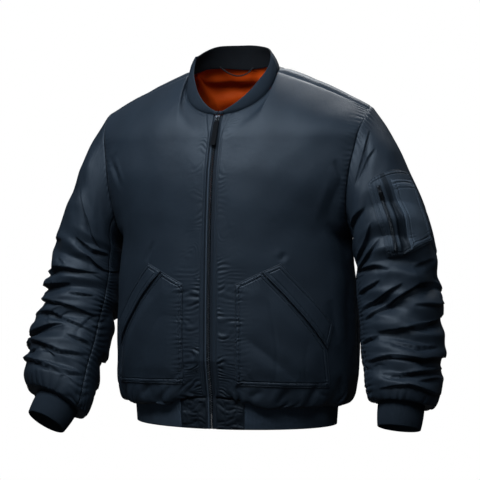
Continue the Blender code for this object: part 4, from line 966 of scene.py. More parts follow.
# %% [markdown]
# ## The jacket's materials
# All the nylon is one satin with other shades: the pockets are duller than the body, and their
# facings paler, partly as painted light. Darker and paler copies paint light and shade: a darker
# knit is painted shade inside the collar, where no light gets in, and behind the zip teeth; a paler
# knit is painted light on the hem band; a darker nylon covers the hem blocks and is painted shade
# in the hollow beside the pen patch. A cool tint in the highlights keeps navy from turning grey.

# %% Materials
RIB_SPACING = 0.0024
COOL = (0.66, 0.82, 1.0, 1)


def satin(name, weave, gloss, dark, light, level, tint=COOL):
    return finished_material(name, SATIN, {"Weave": weave, "Gloss": gloss}, dark, light,
                             Specular_IOR_Level=level, Specular_Tint=tint)


def knit(name, dark, light, **fixed):
    return finished_material(name, RIB, {"Rib": RIB_SPACING}, dark, light, **fixed)


def woven(name, group, rib, gloss, dark, light, level, **fixed):
    return finished_material(name, group, {"Rib": rib, "Gloss": gloss}, dark, light,
                             Specular_IOR_Level=level, **fixed)


FUZZY = {"Specular_IOR_Level": 0.18, "Specular_Tint": COOL, "Sheen_Weight": 0.06,
         "Sheen_Roughness": 0.6}
LOOKS = {
    "nylon": satin("nylon_satin", 0.00045, 0.49, (0.0078, 0.0131, 0.0218),
                   (0.0166, 0.0272, 0.0422), 0.26),
    "matte": satin("pocket_nylon", 0.0006, 0.56, (0.012, 0.0196, 0.031),
                   (0.0255, 0.04, 0.06), 0.25),
    # Darker nylon for the hem blocks, and painted shade in the sleeve pocket's hollow.
    "block": satin("dark_nylon_and_painted_shade", 0.0006, 0.52, (0.0036, 0.0062, 0.0104),
                   (0.0102, 0.0168, 0.0262), 0.2),
    # Paler nylon, partly painted light on the pen patch and a painted highlight on the zip's bead.
    "facing": satin("facing_nylon_painted_light", 0.0006, 0.58, (0.024, 0.037, 0.056),
                    (0.056, 0.083, 0.12), 0.25),
    "lining": satin("lining_satin", 0.00035, 0.36, (0.29, 0.027, 0.002), (0.56, 0.082, 0.009),
                    0.22, (1.0, 0.55, 0.3, 1)),
    "rib": knit("rib_knit", (0.0038, 0.0068, 0.0118), (0.014, 0.023, 0.0365), **FUZZY,
                Sheen_Tint=(0.1, 0.15, 0.22, 1)),
    # A paler copy of the knit: painted light on the hem band, which lies in the blouse's shade.
    "rib_hem_painted_light": knit("rib_knit_hem_painted_light", (0.0105, 0.0185, 0.0315), (0.037, 0.06, 0.094), **FUZZY,
                    Sheen_Tint=COOL),
    # A darker copy of the knit: painted shade inside the collar and behind the zip teeth.
    "rib_painted_shade": knit("rib_knit_painted_shade", (0.001, 0.0017, 0.003), (0.0042, 0.0068, 0.0105),
                       Specular_IOR_Level=0.12),
    "tape": woven("zip_tape_weave", HERRINGBONE, 0.0009, 0.75, (0.005, 0.0082, 0.0135),
                  (0.013, 0.0205, 0.032), 0.2, Specular_Tint=COOL),
    "webbing": woven("pull_webbing", HERRINGBONE, 0.0012, 0.6, (0.0025, 0.0038, 0.006),
                     (0.0095, 0.0135, 0.0195), 0.35),
    "thread": woven("sewing_thread", HERRINGBONE, 0.0004, 0.55, (0.01, 0.016, 0.026),
                    (0.026, 0.04, 0.06), 0.35),
    "pull": woven("pull_ribbon", RIBBON, 0.0014, 0.75, (0.001, 0.0016, 0.0026),
                  (0.0042, 0.0062, 0.0094), 0.06),
    "metal": finished_material("zip_metal_black", METAL, {"Gloss": 0.3}, (0.01, 0.0125, 0.0165),
                               (0.075, 0.09, 0.11), Metallic=1.0),
    "teeth": finished_material("zip_teeth_black", METAL, {"Gloss": 0.3}, (0.0022, 0.0035, 0.0056),
                               (0.015, 0.0225, 0.033), Specular_IOR_Level=0.6, Specular_Tint=COOL),
}
print("materials:", ", ".join(sorted(LOOKS)))

# %% [markdown]
# ## Building the pieces
# Each piece is a grid of quads over its surface, a little finer than the smallest gather, with UVs
# in metres. Its edges turn in by the thickness of the cloth, as a sewn edge does. A Solidify
# modifier would double every face, and the inner ones would never be seen.

# %% Piece builders
def add_object(name, data):
    thing = bpy.data.objects.new(name, data)
    bpy.context.scene.collection.objects.link(thing)
    return thing


def make_mesh(name, points, uvs, look, outward=None, also=()):
    """A quad mesh over a grid of points; outward is the side that faces out."""
    rows, columns = points.shape[:2]
    index = np.arange(rows * columns).reshape(rows, columns)
    quads = np.stack([index[:-1, :-1], index[:-1, 1:], index[1:, 1:], index[1:, :-1]], -1)
    if outward is not None:
        across = np.gradient(points, axis=1)
        up = np.gradient(points, axis=0)
        if np.sum(np.cross(across, up) * outward) < 0:
            quads = quads[..., ::-1]
    quads = quads.reshape(-1, 4)
    mesh = bpy.data.meshes.new(name)
    mesh.vertices.add(rows * columns)
    mesh.vertices.foreach_set("co", points.reshape(-1).astype(np.float32))
    mesh.loops.add(quads.size)
    mesh.loops.foreach_set("vertex_index", quads.reshape(-1).astype(np.int32))
    mesh.polygons.add(len(quads))
    mesh.polygons.foreach_set("loop_start", np.arange(0, quads.size, 4, dtype=np.int32))
    mesh.polygons.foreach_set("use_smooth", np.ones(len(quads), bool))
    layer = mesh.uv_layers.new(name="UVMap")
    corners = uvs.reshape(-1, 2)[quads.reshape(-1)].astype(np.float32)
    layer.data.foreach_set("uv", corners.reshape(-1))
    for finish in (look, *also):
        mesh.materials.append(LOOKS[finish])
    mesh.update(calc_edges=True)
    mesh.validate()
    return add_object(name, mesh)


def lengths(points, axis):
    """Distance along a grid from its first row or column."""
    step = np.linalg.norm(np.diff(points, axis=axis), axis=-1)
    start = np.zeros_like(step[:1] if axis == 0 else step[:, :1])
    return np.concatenate([start, np.cumsum(step, axis=axis)], axis=axis)


def cloth_uvs(points):
    """UVs in metres, measured along a grid's own rows and columns."""
    return np.stack([lengths(points, 1), lengths(points, 0)], -1)


def turn_in(points, normals, depth=0.0025):
    """Two more rows and columns at every edge, which carry the cloth inward."""
    for axis in (0, 1):
        first = np.take(points, [0], axis=axis)
        last = np.take(points, [-1], axis=axis)
        first_normal, last_normal = (np.take(normals, [k], axis=axis) for k in (0, -1))
        points = np.concatenate([first - first_normal * depth, first - first_normal * depth * 0.45,
                                 points, last - last_normal * depth * 0.45,
                                 last - last_normal * depth], axis=axis)
        normals = np.concatenate([first_normal, first_normal, normals, last_normal, last_normal],
                                 axis=axis)
    return points, normals


def settle(thing, slot, *nodes):
    """Sew a piece on: it rides the jacket and stands in for solids; the slot is not used."""
    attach(thing, "jacket")
    if nodes:
        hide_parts(*nodes)
    faces = thing.data.polygons
    print(thing.name, len(faces), "faces", round(sum(face.area for face in faces), 4), "m2")


def edged_piece(name, points, normals, uvs, look, depth=0.0025, also=()):
    """A piece whose edges turn in by the cloth's thickness."""
    points, normals = turn_in(points, normals, depth)
    return make_mesh(name, points, np.pad(uvs, ((2, 2), (2, 2), (0, 0)), mode="edge"), look,
                     normals, also)


def zip_side(heights, distance, trial):
    """How far round the front lies a distance from the centre, at each height."""
    found = []
    for height in heights:
        x = plain_panel("front", trial, np.full_like(trial, height))[:, 0]
        found.append(np.interp(distance, x, trial))
    return np.array(found)


def panel_places(half, columns, rows):
    """Grid of (around, along) over a half panel; a front starts beside the zip."""
    start = 0.0
    if half == "front":
        start = zip_side(rows, ZIP_EDGE, np.linspace(0, 0.16, 33))[:, None]
    along = rows[:, None] + 0 * columns[None]
    return start + (1 - start) * columns[None] + 0 * along, along


print("piece builders ready")

# %% [markdown]
# ## Fronts and back
# Rows every 2 mm carry the gathers beside the zip and the hem. The back is one piece, so its two
# halves are joined at the centre; each front starts beside the zip.

# %% Fronts and back
PANEL_FINE_ROWS = np.concatenate([np.linspace(0, 0.586, 263), np.linspace(0.586, TOP, 18)[1:]])
PANEL_FINE_COLUMNS = {
    "front": np.concatenate([np.arange(0, 0.06, 0.003), np.linspace(0.06, 0.984, 96),
                             np.linspace(0.984, 1, 6)[1:]]),
    "back": np.concatenate([np.linspace(0, 0.984, 106), np.linspace(0.984, 1, 6)[1:]]),
}


def whole_back(half_piece):
    """One grid across the back from two halves that share their centre column."""
    halves = (half_piece("back", side) for side in SIGN)
    return (np.concatenate([right[:, :0:-1], left], axis=1) for left, right in zip(*halves))


def panel_piece(half, side):
    around, along = panel_places(half, PANEL_FINE_COLUMNS[half], PANEL_FINE_ROWS)
    points, normals = dressed_panel(half, side, around, along)
    if half == "front":
        points[:, 0, 0] = ZIP_EDGE * SIGN[side]
    uvs = np.stack([around * QUARTER_GIRTH * SIGN[side], along], -1)
    return points, normals, uvs


for side in SIGN:
    points, normals, uvs = panel_piece("front", side)
    front = edged_piece("shell_front_" + side, points, normals, uvs, "nylon")
    settle(front, "nylon", "front_" + side)

points, normals, uvs = whole_back(panel_piece)
back = edged_piece("shell_back", points, normals, uvs, "nylon")
settle(back, "nylon", "back")

# %% [markdown]
# ## Sewn sleeves
# Two-piece sleeves: a top piece round the outside and front, and a narrower under piece. The front
# seam is ruched from the elbow down, and the end rolls in over the knit cuff.

# %% Sewn sleeves
SLEEVE_FINE_ROWS = np.concatenate([np.linspace(0, 0.5, 222), np.linspace(0.5, SLEEVE_END, 29)[1:]])
DEGREES_A_COLUMN = 1.75


def sleeve_piece(name, side, first, last, nodes):
    turn = np.linspace(first, last, round((last - first) / DEGREES_A_COLUMN) + 1)
    turn, along = np.meshgrid(turn, SLEEVE_FINE_ROWS)
    points, normals = dressed_sleeve(side, along, turn)
    uvs = np.stack([turn * ARM_MM, along], -1)
    piece = edged_piece(name, points, normals, uvs, "nylon")
    settle(piece, "nylon", *nodes)


for side in SIGN:
    sleeve_piece("shell_sleeve_top_" + side, side, BACK_SLEEVE_SEAM - 360, FRONT_SLEEVE_SEAM,
                 ["sleeve_top_" + side])
    sleeve_piece("shell_sleeve_under_" + side, side, FRONT_SLEEVE_SEAM, BACK_SLEEVE_SEAM,
                 ["sleeve_under_" + side])

# %% [markdown]
# ## Armhole seams
# Body and sleeve meet at an angle, so a narrow strip of the turned-in cloth runs along behind the
# seam and closes it.

# %% Armhole seams
for side in SIGN:
    turn = np.linspace(0, 360, 241)
    middle = place(armhole(side, turn), side)
    in_front = (turn <= 180)[:, None]
    rows = armhole_rows(turn)
    near = np.full_like(rows, 1 - 0.012 / QUARTER_GIRTH)
    body = np.where(in_front, dressed_panel("front", side, near, rows, -0.003)[0],
                    dressed_panel("back", side, near, rows, -0.003)[0])
    arm, out = dressed_sleeve(side, np.full_like(turn, 0.01), turn, -0.003)
    body_normal = np.where(in_front, panel_normal("front", side, near, rows),
                           panel_normal("back", side, near, rows))
    out = unit(out)
    under = middle - unit(out + body_normal) * 0.0042
    strip = np.stack([body, (body + under) / 2, under, (arm + under) / 2, arm])
    uvs = cloth_uvs(strip)
    seam = make_mesh("armhole_seam_" + side, strip, uvs, "nylon", np.broadcast_to(out, strip.shape))
    settle(seam, "nylon")

# %% [markdown]
# ## Knit bands
# A doubled band of 1x1 rib, closed all round, because both faces and the fold at the rim are seen.
# Its ribs are real ridges, so they catch the light at the rim, and finer loops come from the
# material.

# %% Knit bands
RIB_WALL = 0.0032
RIB_RIDGE = 0.00028


def knit_band(name, centre, normal, run, look, nodes, closed=False):
    """A folded band: centre is a grid of its outer face, rows across the band."""
    half = RIB_WALL / 2
    run = run + 0 * centre[..., 0]
    ridge = RIB_RIDGE * np.cos(2 * math.pi * run / RIB_SPACING)
    height = lengths(centre, 0)
    from_rim = np.minimum(height, height[-1:] - height)
    belly = np.sqrt(1 - np.clip(1 - from_rim / half, 0, 1) ** 2)
    middle = centre - normal * half
    outer = middle + normal * (half * belly + ridge * belly - 0.0003 * (1 - belly))[..., None]
    inner = middle - normal * (half * belly + ridge * belly)[..., None]
    loop = np.concatenate([outer, inner[::-1], outer[:1]], axis=0)
    across = np.concatenate([run, run[::-1] + RIB_SPACING / 2, run[:1]], axis=0)
    up = np.concatenate([height, -height[::-1], height[:1] * 0])
    facing = np.concatenate([normal, -normal[::-1], normal[:1]], axis=0)
    for side in () if closed else (0, -1):
        cap = np.concatenate([middle[:, side], middle[::-1, side], middle[:1, side]])[:, None]
        loop = np.concatenate([cap, loop] if side == 0 else [loop, cap], axis=1)
        pads = ((0, 0), (1, 0)) if side == 0 else ((0, 0), (0, 1))
        across, up = np.pad(across, pads, mode="edge"), np.pad(up, pads, mode="edge")
        facing = np.pad(facing, pads + ((0, 0),), mode="edge")
    band = make_mesh(name, loop, np.stack([across, up], -1), look, facing)
    weld(band)
    settle(band, "rib", *nodes)
    return band


def weld(thing):
    """Join the points that a closed grid has twice."""
    shape = bmesh.new()
    shape.from_mesh(thing.data)
    bmesh.ops.remove_doubles(shape, verts=shape.verts, dist=1e-6)
    shape.to_mesh(thing.data)
    shape.free()


def grid_normals(points):
    return unit(np.cross(np.gradient(points, axis=1), np.gradient(points, axis=0)))


def rib_columns(length, per_rib=4):
    """How many columns give each rib the same few."""
    return int(round(length / RIB_SPACING)) * per_rib + 1


def band_rows(height):
    """Shares of a band's height: close together round its folded rims."""
    edge = RIB_WALL / 2 * (1 - np.cos(np.linspace(0, math.pi / 2, 4)))
    middle = np.linspace(edge[-1], height - edge[-1], 5)
    return np.concatenate([edge[:-1], middle, height - edge[-2::-1]]) / height


print("ribs in the hem band:", rib_columns(1.1, 1) - 1)

# %% [markdown]
# ## Collar
# The ribbed collar stands up from the neckline and leans in a little. At the front it tapers to
# nothing beside the zip. Its inner face is in shade, so the faces that look inward get a darker
# copy of the knit as painted shade.

# %% Collar
SEAM_GAP = 0.0003             # clearance between two sewn pieces
# Collar: turn 0 is the centre front, 1 the shoulder and 2 the centre back.
COLLAR = (
    # turn, rise, inward
    (0, .003, 0), (.12, .01, .001), (.25, .018, .004), (.42, .027, .009), (.65, .0345, .0125),
    (1, .034, .012), (1.3, .035, .0095), (1.6, .04, .007), (2, .044, .006),
)


def collar_point(side, turn, share):
    """turn 0 centre front, 1 shoulder, 2 centre back; share 0 seam, 1 rim."""
    turn, share = np.broadcast_arrays(np.asarray(turn, float), np.asarray(share, float))
    seam = np.where((turn <= 1)[..., None], neckline("front", np.clip(turn, 0, 1)),
                    neckline("back", np.clip(2 - turn, 0, 1)))
    rise, inward = np.moveaxis(spline(COLLAR, turn), -1, 0)
    hub = np.array([0, 0.4 * (NECK_SIDE_Y + NECK_BACK_Y) / 2, 0])
    toward = unit((hub - seam) * np.array([1, 1, 0]))
    bow = np.sin(math.pi * share) * 0.0015
    move = toward * (inward * share ** 1.3 - bow)[..., None]
    move[..., 2] += SEAM_GAP + rise * share
    return place(seam + move, side)


def collar_below(side, turn, share):
    """The collar's outer face, carried on below its seam as the cloth sewn in does."""
    inside = np.clip(share, 0, None)
    points = collar_point(side, turn, inside)
    rise = spline(COLLAR, turn)[..., 0]
    points[..., 2] += np.minimum(share, 0) * np.maximum(rise, 0.02)
    if side == "left":
        leaning = smooth(turn, 0.85, 1.2) * smooth(turn, 2.0, 1.5) * inside
        points = points - np.stack([0.0065 * leaning, 0 * leaning, 0.005 * leaning], -1)
    return points


turns = np.linspace(0, 2, rib_columns(0.48) // 2 + 1)
turn, share = np.meshgrid(turns, band_rows(0.043) * 1.09 - 0.09)
left, right = (collar_below(side, turn, share) for side in SIGN)
left[:, 0, 0], right[:, 0, 0] = ZIP_EDGE, -ZIP_EDGE
collar = np.concatenate([left, right[:, -2::-1]], axis=1)
band = knit_band("knit_collar", collar, grid_normals(collar), lengths(collar, 1)[:1], "rib",
                 ["collar"])
# Inward faces at the back of the collar take the darker knit: painted shade.
band.data.materials.append(LOOKS["rib_painted_shade"])
for face in band.data.polygons:
    middle = face.center
    inward = Vector((-middle.x, BODY_AXIS_Y - 0.01 - middle.y, 0.0))
    face.material_index = int(face.normal.dot(inward) > 0 and middle.y > -0.075)

# %% [markdown]
# ## Hem band
# The same rib in a paler copy, painted light where the blouse shades the band, a little longer
# round than the body is wide, so that it draws the blousing cloth in.
# It ends at the two blocks of shell cloth beside the zip.

# %% Hem band
HEM_GAP = 0.0006              # clearance where the body meets the hem band
HEM_EDGE_Z = -0.677          # lower edge of the hem band
HEM_EDGE_WIDTH, HEM_EDGE_FRONT, HEM_EDGE_BACK = 0.195, 0.1385, 0.117
HEM_BLOCK_WIDTH = 0.062       # shell cloth end of the band, from the centre


def band_point(side, around, share):
    """The hem band: around 0 centre front, 1 side, 2 centre back; share 0 edge, 1 seam."""
    around, share = np.broadcast_arrays(np.asarray(around, float), np.asarray(share, float))
    zero = np.zeros_like(around)
    seam = np.where((around <= 1)[..., None], body_section("front", np.clip(around, 0, 1), zero),
                    body_section("back", np.clip(2 - around, 0, 1), zero))
    angle = around * math.pi / 2
    depth = np.where(around <= 1, HEM_EDGE_FRONT, HEM_EDGE_BACK)
    edge = np.stack([HEM_EDGE_WIDTH * np.sin(angle), -depth * np.cos(angle),
                     np.full_like(angle, HEM_EDGE_Z)], -1)
    seam[..., 2] -= HEM_GAP
    return place(edge + (seam - edge) * share[..., None], side)


def band_turn(distance):
    """How far round the hem band lies a distance from the centre front."""
    return distance / (HEM_EDGE_WIDTH * math.pi / 2)


start = band_turn(HEM_BLOCK_WIDTH + SEAM_GAP)
turns = np.linspace(start, 2, rib_columns(1.1, 3) // 2 + 1)
turn, share = np.meshgrid(turns, band_rows(0.054) * 1.05)
left, right = (band_point(side, turn, share) for side in SIGN)
hem = np.concatenate([left, right[:, -2::-1]], axis=1)
# The paler knit paints light onto the band, which lies in the blouse's shade.
knit_band("knit_hem", hem, grid_normals(hem), lengths(hem, 1)[:1], "rib_hem_painted_light", ["hem_rib"])

# %% [markdown]
# ## Cuffs
# A short tube from the sleeve's last section, narrowing to the wrist. It starts a little inside the
# sleeve, where it is sewn.

# %% Cuffs
CUFF_LENGTH = 0.044
CUFF_END_HALF = 0.0385


def cuff_grid(side):
    turns = np.linspace(0, 360, rib_columns(0.264))
    end = np.full_like(turns, SLEEVE_END)
    centre, outward, forward, downstream, out, fore = sleeve_frame(side, end)
    angle = np.radians(turns)[:, None]
    rings = []
    for part in band_rows(CUFF_LENGTH) * 1.07 - 0.07:
        width, depth = (size + (CUFF_END_HALF - size) * part + 0.0012 * math.sin(math.pi * part)
                        for size in (out, fore))
        middle = centre + downstream * (SEAM_GAP + CUFF_LENGTH * part)
        rings.append(middle + outward * width * np.cos(angle) + forward * depth * np.sin(angle))
    points = place(rings, side)
    radial = outward * np.cos(angle) + forward * np.sin(angle)
    facing = place(radial, side) - place(np.zeros(3), side)
    return points, np.broadcast_to(facing, points.shape)


for side in SIGN:
    points, facing = cuff_grid(side)
    run = np.linspace(0, (points.shape[1] - 1) / 4 * RIB_SPACING, points.shape[1])[None]
    knit_band("knit_cuff_" + side, points, facing, run, "rib", ["cuff_" + side],
              closed=True)

# %% [markdown]
# ## Ends of the hem band
# Shell cloth over the ends of the band, quilted with upright stitches that pull it into short
# ruffles.

# %% Hem blocks
QUILTING = ((0.017, 0.011, 0.013, 5), (0.04, 0.0125, 0.012, 6))    # place, spacing, reach, seed

for side in SIGN:
    turns = np.linspace(band_turn(ZIP_EDGE), band_turn(HEM_BLOCK_WIDTH), 52)
    turn, share = np.meshgrid(turns, np.linspace(0, 1, 40))
    points = band_point(side, turn, share)
    points[:, 0, 0] = ZIP_EDGE * SIGN[side]
    normals = grid_normals(points) * SIGN[side]
    run, rise = lengths(points, 1), lengths(points, 0)
    away = np.minimum(np.minimum(run, run[:, -1:] - run), np.minimum(rise, rise[-1:] - rise))
    places = (points[..., 0], points[..., 2])
    ruffle = sum(gathers(np.abs(run - line), rise / spacing + 0.7 * wander(places, 0.03, seed),
                         0.0009, reach) for line, spacing, reach, seed in QUILTING)
    lift = (ruffle + 0.0012 * wander(places, 0.022, 7)) * smooth(away, 0, 0.004) + edge_roll(away)
    lift -= 0.003 * np.exp(-(rise[-1:] - rise) / 0.006)
    points = points + normals * lift[..., None]
    uvs = np.stack([run * SIGN[side], rise], -1)
    block = edged_piece("shell_hem_block_" + side, points, normals, uvs, "block")
    settle(block, "nylon", "hem_block_" + side)

# %% [markdown]
# ## Lining
# Orange satin lies loosely inside the shell. It shows in the neck, where it drops in soft folds
# below the collar, and at the hem. Offsetting the shell along its own normals would print every
# seam on the lining, so the normals are smoothed first.

# %% Lining
LINING_LOFT = 0.011          # lining's face inside the shell's face, over the wadding
LINING_TOP_INSETS = (0.0095, 0.007, 0.0028)      # the same in its last rows, up to the seam
LINING_FOLDS = (
    (((-.085, .545), (-.04, .556), (.012, .571)), .008, .012),
    (((-.075, .573), (-.028, .584), (.045, .59)), .006, .009),
    (((-.06, .528), (-.01, .541), (.06, .535)), .01, .012),
    (((.01, .598), (.024, .578), (.03, .55)), .006, .005),
    (((-.02, .57), (.01, .585)), .004, -.003),
)


def lining_depth(along):
    """How far inside the shell the lining lies."""
    return np.interp(TOP - along, (0, 0.018, 0.036, 0.06), (*LINING_TOP_INSETS[::-1], LINING_LOFT))


def lining_piece(half, side):
    rows = np.linspace(0.006, TOP - 0.0004, 132)
    columns = np.linspace(0.001, 0.999, 62)
    around, along = panel_places(half, columns, rows)
    points = place(panel(half, side, around, along), side)
    normals = panel_normal(half, side, around, along)
    soft = normals
    for _ in range(8):
        spread = np.pad(soft, ((1, 1), (1, 1), (0, 0)), mode="edge")
        soft = unit(spread[1:-1, :-2] + spread[1:-1, 2:] + spread[:-2, 1:-1] + spread[2:, 1:-1]
                    + 2 * soft)
    hold = smooth(TOP - along, 0, 0.03)[..., None] * smooth(1 - around, 0, 0.1)[..., None]
    soft = unit(normals + (soft - normals) * hold)
    signed = around * QUARTER_GIRTH * SIGN[side]
    places = (signed, along)
    slack = 0.0016 * wander(places, 0.07, 300 if half == "back" else 320)
    slack = slack + 0.001 * wander(places, 0.03, 301)
    for line, width, depth in LINING_FOLDS if half == "back" else ():
        slack = slack + soft_fold(signed, along, line, width, depth)
    slack = slack * smooth(TOP - along, 0, 0.02) * smooth(1 - around, 0, 0.05)
    points = points - soft * (lining_depth(along) - slack)[..., None]
    return points, soft, np.stack([signed, along], -1)


for side in SIGN:
    points, soft, uvs = lining_piece("front", side)
    lining = make_mesh("satin_lining_front_" + side, points, uvs, "lining", -soft)
    settle(lining, "lining", "lining_front_" + side)
points, soft, uvs = whole_back(lining_piece)
lining = make_mesh("satin_lining_back", points, uvs, "lining", -soft)
settle(lining, "lining", "lining_back")

# %% [markdown]
# ## Laying a patch
# A pocket is a patch of the same satin laid on the finished front. It is drawn as a four-sided
# piece in (distance from the zip, height) and follows every crease below it. Its grid is close
# together near the edges, where the stitching pulls it down in two furrows.

# %% Patches
def run_along(points):
    """Distance along a line of points from its start."""
    return np.concatenate([[0], np.cumsum(np.linalg.norm(np.diff(points, axis=0), axis=1))])


def follow(values, run, where):
    """Values of a line, given at its runs, read at other runs."""
    return np.stack([np.interp(where, run, column) for column in values.T], -1)


def front_place(side, across, height):
    """Where on the front panel a distance round and a height are."""
    around = across / QUARTER_GIRTH
    table = np.array(TORSO)
    along = np.interp(height, table[3:, 1], table[3:, 0])
    for _ in range(8):
        along = along + 0.9 * (height - panel("front", side, around, along)[..., 2])
        along = np.clip(along, 0.001, 0.5)
    return around, along


def close_at_ends(length, coarse=0.0022, fine=0.00065, reach=0.0115):
    """Shares of a length, close together near both ends, where the stitching is."""
    near = np.arange(0, reach, fine)
    middle = np.linspace(reach, length - reach, max(3, round((length - 2 * reach) / coarse)))
    return np.concatenate([near, middle, length - near[::-1]]) / length


def four_sided(bottom, top, left, right, columns, rows):
    """Grid in a region given by its sides as lines, with shares of its width and height."""
    def walk(line, where):
        line = np.array(line, float)
        run = run_along(line)
        return follow(line, run / run[-1], where)

    start, end = walk(left, rows)[:, None], walk(right, rows)[:, None]
    grid = start + (end - start) * columns[None, :, None]
    low, high = walk(bottom, columns)[None], walk(top, columns)[None]
    rise = rows[:, None, None]
    return grid + (low - grid[:1]) * (1 - rise) + (high - grid[-1:]) * rise


def edge_distance(points):
    """Distance of each grid point from the grid's nearest edge, and from each of the four."""
    run, rise = lengths(points, 1), lengths(points, 0)
    sides = (rise, rise[-1:] - rise, run, run[:, -1:] - run)
    return np.min(sides, axis=0), sides


def patch_lift(points, seed, gap, puff, pucker, spacing=0.006):
    """Height of a patch over its cloth: turned edges held down, puckers beside the stitching."""
    away, (bottom, top, left, right) = edge_distance(points)
    run, rise = lengths(points, 1), lengths(points, 0)
    places = (run, rise)
    drift = 0.5 * wander(places, 0.04, seed)
    uneven = 0.7 + 0.4 * wander(places, 0.02, seed + 1)
    rippled = np.zeros_like(run)
    for side, along in ((bottom, run), (top, run), (left, rise), (right, rise)):
        rippled += uneven * gathers(side - 0.002, along / spacing + drift, pucker, 0.01)
    pillow = puff * smooth(away, 0.008, 0.035)
    groove = -0.00105 * bell(away, 0.0024, 0.0009)
    groove = groove - 0.00105 * bell(away, 0.0085, 0.001)
    gap = gap * (1 - 0.55 * np.exp(-top / 0.01))
    body = gap + pillow + rippled * smooth(away, 0.0, 0.003) + groove
    return body - (gap + 0.0003) * bell(away, 0, 0.0007)


print("columns of a 168 mm pocket:", len(close_at_ends(0.168)))

# %% [markdown]
# ## A patch and its stitched lines
# Stitching runs at a set distance inside the edge, so each patch can say where such a line is on
# its own finished surface. The turned edge is real cloth as well, and casts the small shadow that
# makes a pocket look sewn on.

# %% Patch pieces
class Patch:
    """A laid-on piece: its grid of places, finished points and normals."""

    def __init__(self, places, finish):
        self.places = places
        self.points, self.normals = finish(places)
        self.run, self.rise = lengths(self.points, 1), lengths(self.points, 0)

    def offset_side(self, which, inset, start=0.0, end=0.0):
        """A line inset from one side of the patch, stopping short of its corners."""
        grids = [self.points, self.normals, self.run if which in ("left", "right") else self.rise]
        if which in ("bottom", "top"):
            grids = [np.swapaxes(grid, 0, 1) for grid in grids]
        line, facing = [], []
        for points, normals, away in zip(*grids):
            wanted = inset if which in ("left", "bottom") else away[-1] - inset
            spot = np.interp(wanted, away, np.arange(len(away)))
            low = int(min(spot, len(away) - 2))
            part = spot - low
            line.append(points[low] * (1 - part) + points[low + 1] * part)
            facing.append(normals[low])
        line, facing = np.array(line), np.array(facing)
        along = run_along(line)
        keep = (along >= start) & (along <= along[-1] - end)
        return line[keep], facing[keep]


def folded_patch(name, patch, thickness, look="nylon", other=None, where=None):
    """The patch's face and its turned edge; part of it may have another finish."""
    uvs = np.stack([patch.run, patch.rise], -1)
    piece = edged_piece(name, patch.points, patch.normals, uvs, look, thickness,
                        (other,) if other else ())
    if other:
        chosen = np.pad(where, 2, mode="edge")[:-1, :-1].reshape(-1)
        piece.data.polygons.foreach_set("material_index", chosen.astype(np.int32))
    return piece


STITCHES = []                 # lines of points and normals that get their thread later
STITCH_INSET, SECOND_INSET = 0.0022, 0.0085
print("patch pieces ready")

# %% [markdown]
# ## Hand pockets
# The patch is puffed a little by the hand that has been in it. The slanted mouth is covered by a
# separate folded welt, whose free edge stands off and casts a shadow.

# %% Hand pockets
# Outlines, (distance round from the centre, height), from the top inner corner round by the outer
# side. Welt: the flap over the slanted mouth.
POCKET = ((0.043, -0.413), (0.089, -0.39), (0.201, -0.531), (0.21, -0.601), (0.042, -0.595))
WELT = ((0.1245, -0.375), (0.216, -0.485), (0.201, -0.531), (0.089, -0.39))


def front_patch(side, grid, lift):
    """A patch on the finished front; lift gives its height from its points."""
    def finish(places):
        around, along = front_place(side, places[..., 0], places[..., 1])
        points, normals = dressed_panel("front", side, around, along)
        return points + normals * lift(points)[..., None], normals
    return Patch(grid, finish)


def welt_lift(points, seed):
    """A welt stands off along its free edge, and least at its two ends."""
    _, (bottom, top, free, _) = edge_distance(points)
    lift = patch_lift(points, seed, 0.003, 0.001, 0.0003, 0.011)
    open_edge = smooth(free, 0.022, 0.0) * smooth(np.minimum(bottom, top), 0.004, 0.03)
    return lift + 0.003 * open_edge + 0.002 * bell(free, 0, 0.0015)


for side, seed in (("left", 400), ("right", 420)):
    inner_top, upper, outer, outer_low, inner_low = POCKET
    grid = four_sided((inner_low, outer_low), (inner_top, upper), (inner_low, inner_top),
                      (outer_low, outer, upper), close_at_ends(0.168), close_at_ends(0.2))
    pocket = front_patch(side, grid, lambda p: patch_lift(p, seed, 0.0022, 0.0024, 0.00085))
    piece = folded_patch("patch_pocket_" + side, pocket, 0.0022)
    settle(piece, "nylon", "pocket_" + side)
    for which in ("left", "bottom", "right"):
        for inset in (STITCH_INSET, SECOND_INSET):
            STITCHES.append(pocket.offset_side(which, inset, inset, inset))
    one, two, three, four = WELT
    grid = four_sided((three, two), (four, one), (three, four), (two, one), close_at_ends(0.044),
                      close_at_ends(0.18))
    welt = front_patch(side, grid, lambda p: welt_lift(p, seed + 50))
    piece = folded_patch("welt_pocket_" + side, welt, 0.003)
    settle(piece, "nylon", "pocket_welt_" + side)
    for which, inset in (("right", STITCH_INSET), ("right", SECOND_INSET), ("bottom", STITCH_INSET),
                         ("top", STITCH_INSET), ("left", 0.003)):
        STITCHES.append(welt.offset_side(which, inset, 0.002, 0.002))
print("hand pockets ready,", len(STITCHES), "stitched lines so far")

# %% [markdown]
# ## Sleeve pocket
# A zipped pocket on the wearer's left sleeve with a narrower pen patch over its outer half. The
# base is duller than the sleeve, and the hollow beside the pen patch takes a darker nylon as
# painted shade.

# %% Sleeve pocket
# Corners in (turn, along): the base, the pen patch on its outer half, and the zip's two ends.
SLEEVE_POCKET = ((84, 0.085), (11, 0.131), (11, 0.2455), (60, 0.254), (85, 0.243))
PEN_POCKET = ((50, 0.122), (14, 0.146), (14, 0.2425), (52, 0.249))
SLEEVE_ZIP = ((68.5, 0.112), (71.5, 0.238))


def sleeve_patch(grid, lift):
    def finish(places):
        points, normals = dressed_sleeve("left", places[..., 1], places[..., 0])
        return points + normals * lift(points, places)[..., None], normals
    return Patch(grid, finish)


